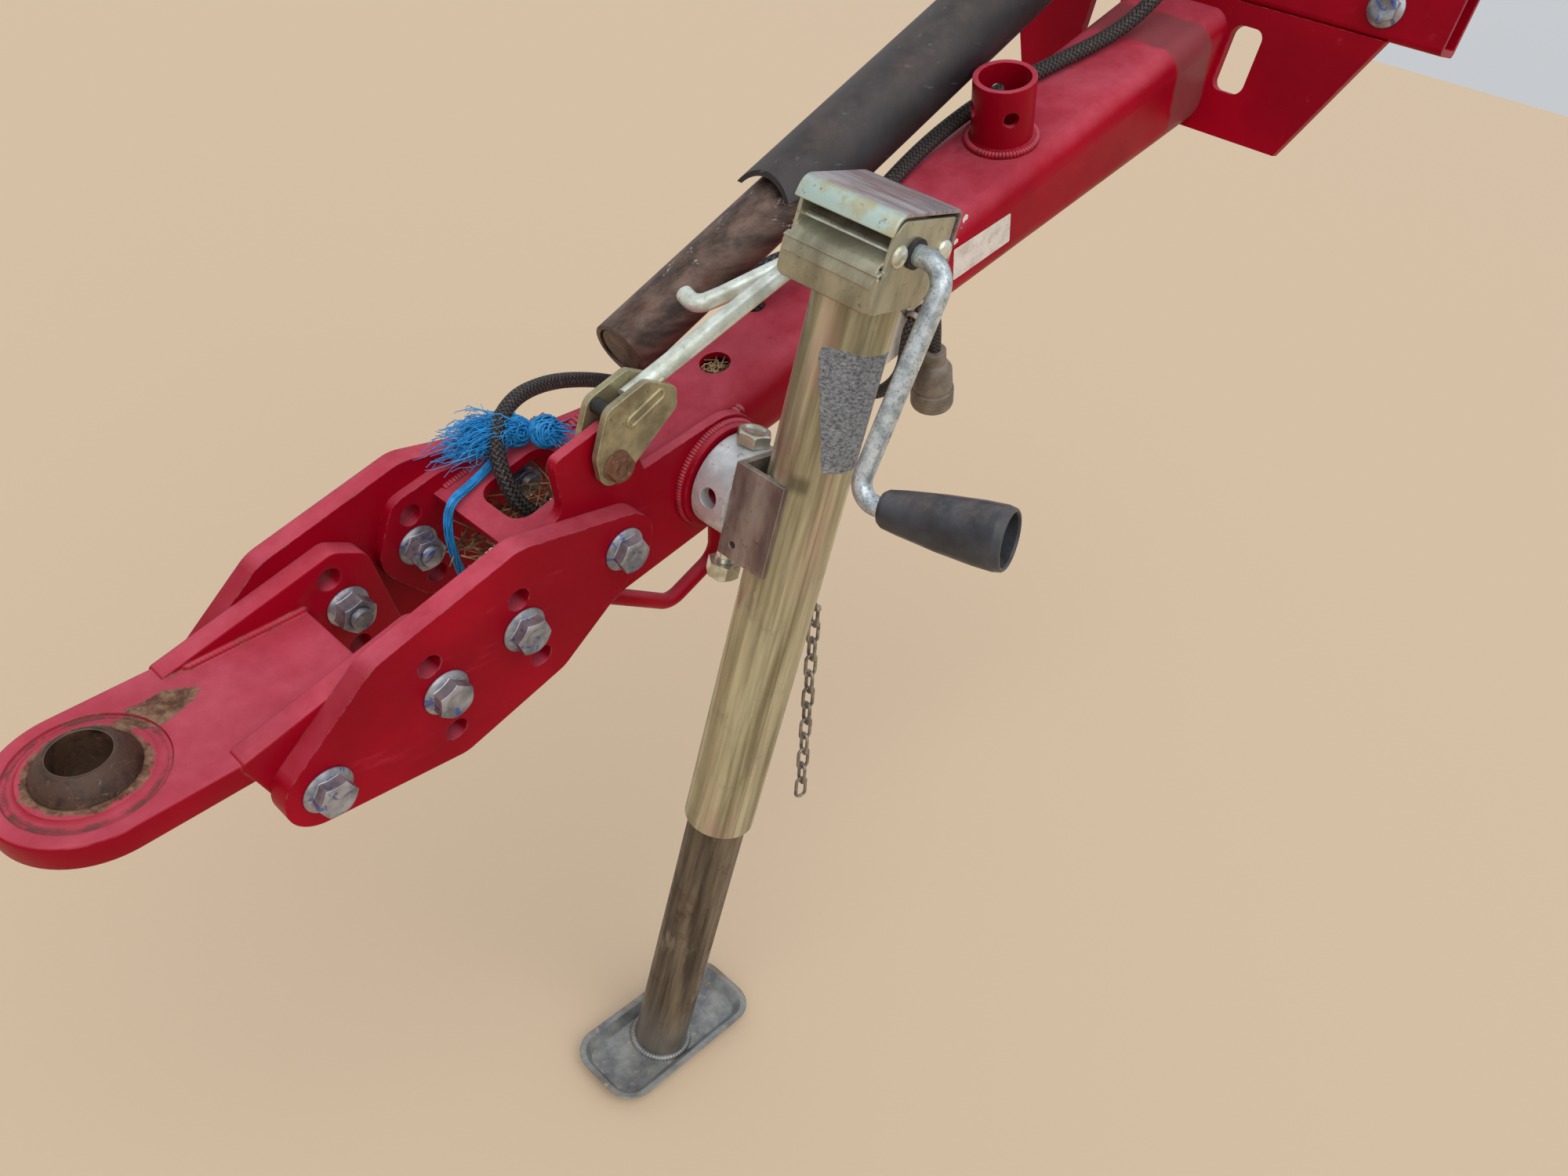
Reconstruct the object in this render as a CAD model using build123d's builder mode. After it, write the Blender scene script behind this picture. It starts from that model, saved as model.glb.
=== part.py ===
from build123d import *
import math
import os

# Drawbar of a towed farm machine, with its hitch eye, parking jack, stowed driveline and light lead.
# Millimetres. Origin: rear face of the crossmember, midway between its two frame bolts.
# +X forward to the hitch, +Y to the machine's left, +Z up.

os.makedirs("parts", exist_ok=True)

# Small allowances used everywhere
run_gap = 0.05  # radial, at every bearing
seat_gap = 0.3  # a loose piece lying on its seat
bolt_hole_gap = 0.5  # radial, round a bolt's shank

# Crossmember and its frame bolts
cross_depth = 50
cross_bottom = -26
cross_height = 70
cross_half_length = 260
cross_wall = 6
frame_bolt_r = 8
frame_bolt_y = 197
frame_stud_length = 30
frame_shank_r = 7.3
frame_thread_gap = 2  # from the rear face to the first full thread
hex_across = 24
bolt_flange_r = 17
bolt_flange_t = 3.5
bolt_head_t = 10
nut_t = 13

# Rear panel
panel_t = 12
panel_bottom = -150
panel_half_bottom = 153
panel_half_top = 210
panel_slot_inner = 64
panel_slot_width = 33
panel_slot_low = -108
panel_slot_height = 62
panel_slot_r = 10

# Beam, drawn in its own slanted frame: u down and forward, v to the left, w up off its top
beam_slope = 26.5
hole_x = 671
hole_z = -347
beam_front_u = 132
beam_straight_u = 10
beam_rear_u = -760
beam_front_half = 48
beam_rear_half = 61
beam_front_depth = 54
beam_straight_depth = 59
beam_rear_depth = 108
beam_corner_r = 22
beam_wall = 6
top_hole_r = 12.5
top_slot = (-27, -37, 20, 8)  # u, v, length, width
lead_hole = (-70, -22, 8.2)  # u, v, radius

# Storage post on the beam
post_u = -380
post_r = 28.5
post_wall = 5
post_height = 60
post_hole_r = 7
post_hole_w = 34
post_weld = 6

# Cheek plates at the beam's front
cheek_t = 8
cheek_front_lobes = [  # u, w, radius
    (262, -11, 30),
    (257, 16, 18),
    (258, -47, 18),
    (228, 13, 20),
]
left_rear_lobe = (62, -36, 48)
right_rear_lobe = (72, -34, 18)
ear_outline = [  # u, w, corner radius
    (122, -10, 2),
    (132, 68, 9),
    (148, 80, 5),
    (193, 80, 7),
    (197, 38, 12),
    (222, 30, 8),
    (222, -10, 2),
]
ear_pivot = (152, 51)  # u, w
pivot_bolt_r = 6
pivot_head_across = 19
pivot_head_t = 8

# Front plate between the cheeks
plate_top = 20
plate_t = 8
plate_front_u = 235
cut_out_u = (154, 216)
cut_out_half = 24
cut_out_r = 14

# Straps that carry the tow eye
strap_t = 16
strap_lobes = [  # u, w, radius
    (170, -14, 28),
    (250, 24, 30),
    (352, 23, 30),
    (420, -8, 28),
    (330, -51, 25),
    (250, -50, 25),
]
strap_bolt_r = 8
cheek_bolts = [(170, -14), (262, -11)]  # u, w
eye_bolts = [(328, -9), (420, -8)]
cheek_spare_holes = [(257, 16), (258, -47)]
eye_spare_holes = [(329, 21), (334, -48)]
bolt_end = 4  # thread past the nut

# Tow eye, its centre given from the front eye bolt
eye_ahead = 83.6
eye_above = 78
eye_tilt = 11.5
eye_ball_r = 32
eye_bore_r = 17.5
eye_plate_drop = 16
eye_plate_t = 19
eye_half = 55
eye_waist_u = 411
eye_rear_u = 368
eye_groove_r = (46, 52)
eye_groove_depth = 1.5
eye_flange_t = 16
eye_flange_outline = [  # u, w, corner radius
    (298, 20, 14),
    (318, 39, 12),
    (423, 39, 30),
    (476, 52, 4),
    (484, 30, 6),
    (450, -36, 26),
    (360, -64, 20),
    (300, -64, 14),
]

# Safety loop under the left cheek
loop_r = 6.5
loop_route = [(66, -70), (76, -124), (132, -132), (196, -56)]  # u, w
loop_bend = 20

# Jack pivot
pivot_x = 710
pivot_z = -407
stub_r = 28.5
stub_wall = 5
stub_end = 96
collar_r = 45
collar_t = 8
sleeve_r = 38
sleeve_start = 66
sleeve_end = 98
lock_hole_r = 8
lock_y = 82
lock_nut_z = -486
channel_web = 5
channel_half = 34
channel_top = -369
channel_bottom = -445
channel_end = 143
channel_hole_r = 3

# Jack tubes and foot
jack_y = 138
outer_r = 30.15
outer_wall = 3.2
outer_top = -221
outer_bottom = -703
lip_height = 13
inner_r = 25.4
inner_wall = 4
inner_top = -516
ground_z = -1011
pan_length = 183
pan_width = 85
pan_shift = -6
pan_height = 13
pan_t = 3.5
pan_flare = 35
pan_corner_r = 24

# Jack head, a folded cover with a window in front
head_half_x = 31
head_half_y = 38
head_top = -167
head_bottom = -228
head_wall = 3
head_front_r = 12
lip_x = 42
lip_top = -209
window_low = -207
window_high = -177
window_half = 31
crank_x = 719
crank_z = -190
pin_z = -191
pin_offset = 25
pin_r = 3.8
rivet_r = 5.8
rivet_t = 3
bush_r = 10
bush_stand = 3

# Crank and grip
rod_r = 7
crank_arm_y = 203
crank_corner = (752, 203, -344)
crank_bend_top = 16
crank_bend_low = 15
grip_dir = Vector(-0.18, 0.963, 0.195).normalized()
grip_start = 21.5
grip_length = 87
grip_small_r = 13
grip_large_r = 21.6
grip_recess_r = 17.6
grip_recess = 22
retainer_t = 4
retainer_r = 11

# Fine chain behind the jack
chain_top = Vector(pivot_x - 36, jack_y + 14, pivot_z - 83)
chain_drop = Vector(-24, 24, -196)
chain_links = 12
chain_wire_r = 1.5
link_half_width = 4.5
link_overlap = 3.7
lug_r = 2.4
lug_reach = 14

# Driveline rest: link plates on the ear and a bent rod
link_t = 5
link_outline = [  # u, w, corner radius
    (138, 40, 12),
    (168, 33, 13),
    (166, 66, 14),
    (148, 96, 10),
    (112, 97, 10),
    (89, 76, 8),
    (92, 60, 6),
]
rest_route = [  # u, v, w
    (124, 52, 84),
    (-66, 52, 89),
    (-92, 36, 76),
    (-66, 22, 62),
    (-12, 6, 60),
    (8, -1, 60),
    (3, -18, 60),
]
rest_bends = [16, 13, 16, 20, 10]
rest_stop = (143, 89, 5.5)  # u, w, radius

# Stowed driveline: a tube in a torn shield, from the crossmember's top edge to the beam's far corner
tube_r = 25
tube_wall = 4
shield_r = 36
shield_wall = 4
drive_front_u = 45
drive_lean = 43
drive_rear_y = -74
shield_front = 178  # bare tube in front of the torn end
shield_behind = 62
torn_edge = [(-44, -50), (-50, -18), (-58, 4), (-50, 16), (-2, 22), (-10, 34), (-24, 50)]  # ahead, up
yoke_length = 46
yoke_ear_t = 12
yoke_bore_r = 12
bearing_length = 18

# Light harness and lead
harness_r = 7.5
lead_r = 6
gland_r = 12
gland_length = 10
gland_y = 12
gland_z = 8
clip_width = 5
clip_t = 2
clip_tab = 19
clip_screw_r = 4
plug_length = 62
plug_neck_r = 11
plug_body_r = 20
plug_mouth_r = 15.5
plug_mouth = 24

# Twine
twine_r = 3.5
knot_r = 12.5
knots = [(165, -35, 33), (150, -20, 33)]  # u, v, w
plume = [(158, -46), (204, -63), (239, -41), (200, -30), (158, -24)]  # u, v
plume_w = (41, 56)

# Frame of the beam
slope = math.radians(beam_slope)
down = Vector(math.cos(slope), 0, -math.sin(slope))
up = Vector(math.sin(slope), 0, math.cos(slope))
beam_origin = Vector(hole_x, 0, hole_z)


def on_beam(u, v, w):
    """A point given in the beam's own frame."""
    return beam_origin + down * u + Vector(0, v, 0) + up * w


def side_plane(v):
    """Sketch plane along the beam, at v, whose x is u and y is w; it extrudes to the right side."""
    return Plane(origin=on_beam(0, v, 0), x_dir=tuple(down), z_dir=(0, -1, 0))


def top_plane(w):
    """Sketch plane on the beam's top, at height w, whose x is u and y is v."""
    return Plane(origin=on_beam(0, 0, w), x_dir=tuple(down), z_dir=tuple(up))


def section_plane(u):
    """Sketch plane across the beam, whose x is v and y is w."""
    return Plane(origin=on_beam(u, 0, 0), x_dir=(0, 1, 0), z_dir=tuple(down))


def rounded_outline(rows):
    """Closed outline from rows of u, w and corner radius."""
    FilletPolyline(*[(u, w) for u, w, r in rows], radius=[r for u, w, r in rows], close=True)


def lobe_rims(lobes):
    """Circles from rows of u, w and radius, for one tight outline round them."""
    for u, w, r in lobes:
        CenterArc((u, w), r, 0, 360)


def beam_half(u):
    """Half the beam's width at u."""
    share = max(0, (beam_straight_u - u) / (beam_straight_u - beam_rear_u))
    return beam_front_half + (beam_rear_half - beam_front_half) * share


def bend_radii(points):
    """Radius for each inner corner of a cord's route: 0.45 of the shorter run over the tangent of half the turn."""
    radii = []
    for before, here, after in zip(points, points[1:], points[2:]):
        turn = math.radians((here - before).get_angle(after - here))
        radii.append(0.45 * min((here - before).length, (after - here).length) / math.tan(turn / 2))
    return radii


def cord_path(points):
    """Straight runs joined by tangent arcs."""
    return FilletPolyline(*points, radius=bend_radii(points))


def report_cord(label, part, path, radius):
    """Prints a cord's length, its radii and how its volume agrees with its section times its length."""
    share = part.volume / (math.pi * radius**2 * path.length)
    print(label, "length", round(path.length), "volume share", round(share, 4))


def finish(part, label):
    part.label = label
    export_step(part, f"parts/{label}.step")


cross_top = cross_bottom + cross_height
cheek_in = beam_front_half
cheek_out = cheek_in + cheek_t
strap_out = cheek_out + strap_t

# Crossmember: a rectangular tube across the machine
with BuildPart() as crossmember:
    with BuildSketch(Plane.XZ.offset(-cross_half_length)):
        with Locations((cross_depth / 2, cross_bottom + cross_height / 2)):
            RectangleRounded(cross_depth, cross_height, cross_wall)
            RectangleRounded(cross_depth - 2 * cross_wall, cross_height - 2 * cross_wall,
                             cross_wall / 3, mode=Mode.SUBTRACT)
    extrude(amount=2 * cross_half_length)
    with BuildSketch(Plane.YZ):
        with Locations((-frame_bolt_y, 0), (frame_bolt_y, 0)):
            Circle(frame_bolt_r + bolt_hole_gap)
    extrude(amount=cross_depth, mode=Mode.SUBTRACT)
finish(crossmember.part, "crossmember")

# Frame bolts: heads in front, a thinner shank through the tube, threads standing out behind
with BuildPart() as frame_bolts:
    for y in (-frame_bolt_y, frame_bolt_y):
        with BuildSketch(Plane.YZ.offset(-frame_stud_length)):
            with Locations((y, 0)):
                Circle(frame_bolt_r)
        extrude(amount=frame_stud_length - frame_thread_gap)
        with BuildSketch(Plane.YZ.offset(-frame_thread_gap)):
            with Locations((y, 0)):
                Circle(frame_shank_r)
        extrude(amount=frame_thread_gap + cross_depth)
        with BuildSketch(Plane.YZ.offset(cross_depth)):
            with Locations((y, 0)):
                Circle(bolt_flange_r)
        extrude(amount=bolt_flange_t)
        with BuildSketch(Plane.YZ.offset(cross_depth + bolt_flange_t)):
            with Locations((y, 0)):
                RegularPolygon(hex_across / 2, 6, major_radius=False)
        extrude(amount=bolt_head_t)
finish(frame_bolts.part, "frame_bolts")

# Rear panel: a gusset plate under the crossmember with a slot in each wing
with BuildPart() as rear_panel:
    with BuildSketch(Plane.YZ.offset(cross_depth - panel_t)):
        with BuildLine():
            Polyline((-panel_half_bottom, panel_bottom), (panel_half_bottom, panel_bottom),
                     (panel_half_top, cross_bottom), (-panel_half_top, cross_bottom), close=True)
        make_face()
        slot_y = panel_slot_inner + panel_slot_width / 2
        with Locations((-slot_y, panel_slot_low + panel_slot_height / 2),
                       (slot_y, panel_slot_low + panel_slot_height / 2)):
            RectangleRounded(panel_slot_width, panel_slot_height, panel_slot_r, mode=Mode.SUBTRACT)
    extrude(amount=panel_t)
finish(rear_panel.part, "rear_panel")

# Beam: a tapered tube with rounded corners, cut off square against the rear panel
beam_sections = [  # u, half width, depth
    (beam_rear_u, beam_rear_half, beam_rear_depth),
    (beam_straight_u, beam_front_half, beam_straight_depth),
    (beam_front_u, beam_front_half, beam_front_depth),
]
with BuildPart() as beam:
    for inset, mode in ((0, Mode.ADD), (beam_wall, Mode.SUBTRACT)):
        for rear, front in zip(beam_sections, beam_sections[1:]):
            for u, half, depth in (rear, front):
                with BuildSketch(section_plane(u)):
                    with Locations((0, -depth / 2)):
                        RectangleRounded(2 * (half - inset), depth - 2 * inset, beam_corner_r - inset)
            loft(mode=mode)
    split(bisect_by=Plane(origin=(cross_depth, 0, 0), z_dir=(1, 0, 0)), keep=Keep.TOP)
    with BuildSketch(top_plane(0)):
        Circle(top_hole_r)
        with Locations(top_slot[:2]):
            SlotOverall(top_slot[2], top_slot[3], rotation=-23)
        with Locations(lead_hole[:2]):
            Circle(lead_hole[2])
    extrude(amount=-beam_corner_r, mode=Mode.SUBTRACT)
finish(beam.part, "beam")

# Storage post: a short cross-drilled pipe with a weld at its foot
with BuildPart() as storage_post:
    with BuildSketch(top_plane(0)):
        with Locations((post_u, 0)):
            Circle(post_r)
    extrude(amount=post_height)
    with BuildSketch(top_plane(0)):
        with Locations((post_u, 0)):
            Circle(post_r + post_weld)
    extrude(amount=post_weld, taper=44)
    with BuildSketch(top_plane(0)):
        with Locations((post_u, 0)):
            Circle(post_r - post_wall)
    extrude(amount=post_height, mode=Mode.SUBTRACT)
    for turn in (50, 140):
        across = Vector(math.cos(math.radians(turn)), math.sin(math.radians(turn)), 0)
        along = down * across.X + Vector(0, across.Y, 0)
        with BuildSketch(Plane(origin=on_beam(post_u, 0, post_hole_w), z_dir=tuple(along))):
            Circle(post_hole_r)
        extrude(amount=2 * post_r, both=True, mode=Mode.SUBTRACT)
finish(storage_post.part, "storage_post")

# Cheeks: lobed plates on both sides of the beam's front; the left one carries an ear
for label, outer, rear_lobe, ear in (
    ("left_cheek", cheek_out, left_rear_lobe, True),
    ("right_cheek", -cheek_in, right_rear_lobe, False),
):
    with BuildPart() as cheek:
        with BuildSketch(side_plane(outer)):
            with BuildLine():
                lobe_rims([rear_lobe] + cheek_front_lobes)
            make_hull()
            if ear:
                with BuildLine():
                    rounded_outline(ear_outline)
                make_face()
            with Locations(*(cheek_bolts + cheek_spare_holes)):
                Circle(strap_bolt_r + bolt_hole_gap, mode=Mode.SUBTRACT)
            if ear:
                with Locations(ear_pivot):
                    Circle(pivot_bolt_r + bolt_hole_gap, mode=Mode.SUBTRACT)
        extrude(amount=cheek_t)
    finish(cheek.part, label)

# Front plate: closes the top between the cheeks, with a rounded cut-out
with BuildPart() as front_plate:
    with BuildSketch(top_plane(plate_top)):
        with Locations(((beam_front_u + plate_front_u) / 2, 0)):
            Rectangle(plate_front_u - beam_front_u, 2 * cheek_in)
        with Locations((sum(cut_out_u) / 2, 0)):
            RectangleRounded(cut_out_u[1] - cut_out_u[0], 2 * cut_out_half, cut_out_r, mode=Mode.SUBTRACT)
    extrude(amount=-plate_t)
finish(front_plate.part, "front_plate")

# Straps: thick side plates bolted outside the cheeks and the eye's flanges
for label, outer in (("left_strap", strap_out), ("right_strap", -cheek_out)):
    with BuildPart() as strap:
        with BuildSketch(side_plane(outer)):
            with BuildLine():
                lobe_rims(strap_lobes)
            make_hull()
            with Locations(*(cheek_bolts + eye_bolts + cheek_spare_holes + eye_spare_holes)):
                Circle(strap_bolt_r + bolt_hole_gap, mode=Mode.SUBTRACT)
        extrude(amount=strap_t)
    finish(strap.part, label)

# Strap bolts with flanged heads outside, and their nuts inside
eye_flange_in = cheek_out - eye_flange_t
nut_seats = [(spot, cheek_in) for spot in cheek_bolts] + [(spot, eye_flange_in) for spot in eye_bolts]
with BuildPart() as strap_bolts:
    for (u, w), seat in nut_seats:
        for side in (1, -1):
            tip = seat - nut_t - bolt_flange_t - bolt_end
            with BuildSketch(side_plane(side * tip)):
                with Locations((u, w)):
                    Circle(strap_bolt_r)
            extrude(amount=-side * (strap_out - tip))
            with BuildSketch(side_plane(side * strap_out)):
                with Locations((u, w)):
                    Circle(bolt_flange_r)
            extrude(amount=-side * bolt_flange_t)
            with BuildSketch(side_plane(side * (strap_out + bolt_flange_t))):
                with Locations((u, w)):
                    RegularPolygon(hex_across / 2, 6, major_radius=False, rotation=u)
            extrude(amount=-side * bolt_head_t)
finish(strap_bolts.part, "strap_bolts")

with BuildPart() as strap_nuts:
    for (u, w), seat in nut_seats:
        for side in (1, -1):
            with BuildSketch(side_plane(side * seat)):
                with Locations((u, w)):
                    Circle(bolt_flange_r - 1)
                    Circle(strap_bolt_r, mode=Mode.SUBTRACT)
            extrude(amount=side * bolt_flange_t)
            with BuildSketch(side_plane(side * (seat - bolt_flange_t))):
                with Locations((u, w)):
                    RegularPolygon(hex_across / 2, 6, major_radius=False, rotation=w)
                    Circle(strap_bolt_r, mode=Mode.SUBTRACT)
            extrude(amount=side * nut_t)
finish(strap_nuts.part, "strap_nuts")

# Tow eye: a forged plate with a rounded nose, and two flanges between the straps
tilt = math.radians(eye_tilt)
eye_up = Vector(math.sin(tilt), 0, math.cos(tilt))
eye_out = Vector(math.cos(tilt), 0, -math.sin(tilt))
eye_centre = on_beam(eye_bolts[1][0] + eye_ahead, 0, eye_bolts[1][1] + eye_above)
eye_plate_centre = eye_centre - eye_up * eye_plate_drop
eye_top = Plane(origin=eye_plate_centre, x_dir=tuple(eye_out), z_dir=tuple(eye_up))
eye_waist, eye_rear = [
    (u - (eye_plate_centre - beam_origin).dot(down)) / eye_out.dot(down) for u in (eye_waist_u, eye_rear_u)
]
ball_half = eye_plate_drop + eye_plate_t / 2
ball_centre = eye_centre - eye_up * ball_half
with BuildPart() as tow_eye:
    with BuildSketch(eye_top):
        Circle(eye_half)
        with Locations((eye_waist / 2, 0)):
            Rectangle(-eye_waist, 2 * eye_half)
        with Locations(((eye_rear + eye_waist) / 2, 0)):
            Rectangle(eye_waist - eye_rear, 2 * eye_flange_in + 2)
    extrude(amount=-eye_plate_t)
    with BuildSketch(eye_top):
        Circle(eye_groove_r[1])
        Circle(eye_groove_r[0], mode=Mode.SUBTRACT)
    extrude(amount=-eye_groove_depth, mode=Mode.SUBTRACT)
    for outer in (cheek_out, -eye_flange_in):
        with BuildSketch(side_plane(outer)):
            with BuildLine():
                rounded_outline(eye_flange_outline)
            make_face()
            with Locations(*(eye_bolts + eye_spare_holes)):
                Circle(strap_bolt_r + bolt_hole_gap, mode=Mode.SUBTRACT)
        extrude(amount=eye_flange_t)
    add(Location(ball_centre) * Sphere(eye_ball_r, mode=Mode.PRIVATE), mode=Mode.SUBTRACT)
finish(tow_eye.part, "tow_eye")

# Eye ball: a bored ball pressed into the eye
with BuildPart() as eye_ball:
    add(Location(ball_centre) * Sphere(eye_ball_r, mode=Mode.PRIVATE))
    for end in (1, -1):
        split(bisect_by=Plane(origin=ball_centre + eye_up * end * ball_half, z_dir=tuple(eye_up * end)),
              keep=Keep.BOTTOM)
    with BuildSketch(Plane(origin=ball_centre, z_dir=tuple(eye_up))):
        Circle(eye_bore_r)
    extrude(amount=2 * ball_half, both=True, mode=Mode.SUBTRACT)
finish(eye_ball.part, "eye_ball")

# Safety loop: a bent bar welded under the left cheek
loop_v = (cheek_in + cheek_out) / 2
with BuildPart() as safety_loop:
    with BuildLine():
        loop_line = FilletPolyline(*[on_beam(u, loop_v, w) for u, w in loop_route], radius=loop_bend)
    with BuildSketch(Plane(origin=loop_line @ 0, z_dir=loop_line % 0)):
        Circle(loop_r)
    sweep()
    with BuildSketch(side_plane(loop_v + 2 * loop_r)):
        with BuildLine():
            lobe_rims([left_rear_lobe] + cheek_front_lobes)
        make_hull()
    extrude(amount=4 * loop_r, mode=Mode.SUBTRACT)
    kept = safety_loop.part.solids().sort_by(SortBy.VOLUME)[-1]
    add(kept, mode=Mode.REPLACE)
finish(safety_loop.part, "safety_loop")

# Jack stub: a pipe on a weld collar, cross drilled for the lock bolt
with BuildPart() as jack_stub:
    with BuildSketch(Plane.XZ.offset(-cheek_out)):
        with Locations((pivot_x, pivot_z)):
            Circle(collar_r)
    extrude(amount=-collar_t, taper=20)
    with BuildSketch(Plane.XZ.offset(-cheek_out)):
        with Locations((pivot_x, pivot_z)):
            Circle(stub_r)
    extrude(amount=-(stub_end - cheek_out))
    with BuildSketch(Plane.XZ.offset(-stub_end)):
        with Locations((pivot_x, pivot_z)):
            Circle(stub_r - stub_wall)
    extrude(amount=stub_end - cheek_out - collar_t, mode=Mode.SUBTRACT)
    for plane in (Plane(origin=(pivot_x, lock_y, pivot_z), z_dir=(0, 0, 1)),
                  Plane(origin=(pivot_x, lock_y, pivot_z), z_dir=(1, 0, 0))):
        with BuildSketch(plane):
            Circle(lock_hole_r)
        extrude(amount=stub_r + 1, both=True, mode=Mode.SUBTRACT)
finish(jack_stub.part, "jack_stub")

# Jack sleeve: turns on the stub
with BuildPart() as jack_sleeve:
    with BuildSketch(Plane.XZ.offset(-sleeve_start)):
        with Locations((pivot_x, pivot_z)):
            Circle(sleeve_r)
            Circle(stub_r + run_gap, mode=Mode.SUBTRACT)
    extrude(amount=-(sleeve_end - sleeve_start))
    for plane in (Plane(origin=(pivot_x, lock_y, pivot_z), z_dir=(0, 0, 1)),
                  Plane(origin=(pivot_x, lock_y, pivot_z), z_dir=(1, 0, 0))):
        with BuildSketch(plane):
            Circle(lock_hole_r)
        extrude(amount=sleeve_r + 1, both=True, mode=Mode.SUBTRACT)
finish(jack_sleeve.part, "jack_sleeve")

# Channel: joins the sleeve to the jack's outer tube
with BuildPart() as jack_channel:
    with BuildSketch(Plane.XY.offset(channel_bottom)):
        with Locations((pivot_x, (sleeve_end + channel_end) / 2)):
            Rectangle(2 * channel_half, channel_end - sleeve_end)
        with Locations((pivot_x, (sleeve_end + channel_web + channel_end) / 2)):
            Rectangle(2 * (channel_half - channel_web), channel_end - sleeve_end - channel_web,
                      mode=Mode.SUBTRACT)
        with Locations((pivot_x, jack_y)):
            Circle(outer_r, mode=Mode.SUBTRACT)
    extrude(amount=channel_top - channel_bottom)
    with BuildSketch(Plane.YZ.offset(pivot_x)):
        with Locations((sleeve_end + channel_web + 7, channel_bottom + 12)):
            Circle(channel_hole_r)
    extrude(amount=channel_half, mode=Mode.SUBTRACT)
finish(jack_channel.part, "jack_channel")

# Lock bolt: its head on the sleeve, its thread out below; the length inside the stub is left out
stub_clear = stub_r + 1
with BuildPart() as lock_bolt:
    with BuildSketch(Plane.XY.offset(pivot_z + sleeve_r)):
        with Locations((pivot_x, lock_y)):
            RegularPolygon(hex_across / 2, 6, major_radius=False, rotation=12)
    extrude(amount=bolt_head_t)
    with BuildSketch(Plane.XY.offset(pivot_z + stub_clear)):
        with Locations((pivot_x, lock_y)):
            Circle(lock_hole_r - seat_gap)
    extrude(amount=sleeve_r - stub_clear)
    with BuildSketch(Plane.XY.offset(lock_nut_z - 3)):
        with Locations((pivot_x, lock_y)):
            Circle(lock_hole_r - seat_gap)
    extrude(amount=pivot_z - stub_clear - (lock_nut_z - 3))
finish(lock_bolt.part, "lock_bolt")

with BuildPart() as lock_nut:
    with BuildSketch(Plane.XY.offset(lock_nut_z)):
        with Locations((pivot_x, lock_y)):
            RegularPolygon(hex_across / 2, 6, major_radius=False, rotation=20)
            Circle(lock_hole_r - seat_gap, mode=Mode.SUBTRACT)
    extrude(amount=nut_t)
finish(lock_nut.part, "lock_nut")

# Outer tube, with a rolled lip that guides the inner one and a lug for the chain
jack_axis = Vector(pivot_x, jack_y, 0)
lug_dir = (Vector(chain_top.X, chain_top.Y, 0) - jack_axis).normalized()
with BuildPart() as outer_tube:
    with BuildSketch(Plane.XY.offset(outer_bottom)):
        with Locations((pivot_x, jack_y)):
            Circle(outer_r)
            Circle(inner_r + run_gap, mode=Mode.SUBTRACT)
    extrude(amount=lip_height)
    with BuildSketch(Plane.XY.offset(outer_bottom + lip_height)):
        with Locations((pivot_x, jack_y)):
            Circle(outer_r)
            Circle(outer_r - outer_wall, mode=Mode.SUBTRACT)
    extrude(amount=outer_top - outer_bottom - lip_height)
    lug_start = jack_axis + lug_dir * (outer_r - 1) + Vector(0, 0, chain_top.Z)
    with BuildSketch(Plane(origin=lug_start, z_dir=tuple(lug_dir))):
        Circle(lug_r)
    extrude(amount=lug_reach)
finish(outer_tube.part, "outer_tube")

# Jack head: a folded cover open at its front window, standing on the tube
head_profile = [  # x from the jack's axis, z, corner radius
    (-head_half_x, head_bottom, 0),
    (-head_half_x, head_top, head_wall),
    (head_half_x, head_top, head_front_r),
    (head_half_x, lip_top + 3, 0),
    (lip_x, lip_top - 4, head_wall),
    (lip_x, head_bottom, 0),
]
with BuildPart() as jack_head:
    with BuildSketch(Plane.XZ.offset(-(jack_y + head_half_y))):
        with BuildLine():
            rounded_outline([(pivot_x + x, z, r) for x, z, r in head_profile])
        make_face()
    extrude(amount=2 * head_half_y)
    with BuildSketch(Plane.XZ.offset(-(jack_y + head_half_y - head_wall))):
        with BuildLine():
            rounded_outline([(pivot_x + x, z, r) for x, z, r in head_profile])
        make_face()
        offset(amount=-head_wall)
    extrude(amount=2 * (head_half_y - head_wall), mode=Mode.SUBTRACT)
    with BuildSketch(Plane.YZ.offset(pivot_x + head_half_x - head_wall - 2)):
        with Locations((jack_y, (window_low + window_high) / 2)):
            Rectangle(2 * window_half, window_high - window_low)
    extrude(amount=head_wall + 4, mode=Mode.SUBTRACT)
    with BuildSketch(Plane.XY.offset(head_bottom)):
        with Locations((pivot_x, jack_y)):
            Circle(outer_r)
    extrude(amount=outer_top - head_bottom, mode=Mode.SUBTRACT)
    with BuildSketch(Plane.XZ.offset(-(jack_y - head_half_y))):
        with Locations((pivot_x - pin_offset, pin_z), (pivot_x + pin_offset, pin_z)):
            Circle(pin_r)
    extrude(amount=-2 * head_half_y, mode=Mode.SUBTRACT)
    with BuildSketch(Plane.XZ.offset(-jack_y)):
        with Locations((crank_x, crank_z)):
            Circle(bush_r)
    extrude(amount=-head_half_y, mode=Mode.SUBTRACT)
finish(jack_head.part, "jack_head")

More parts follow.
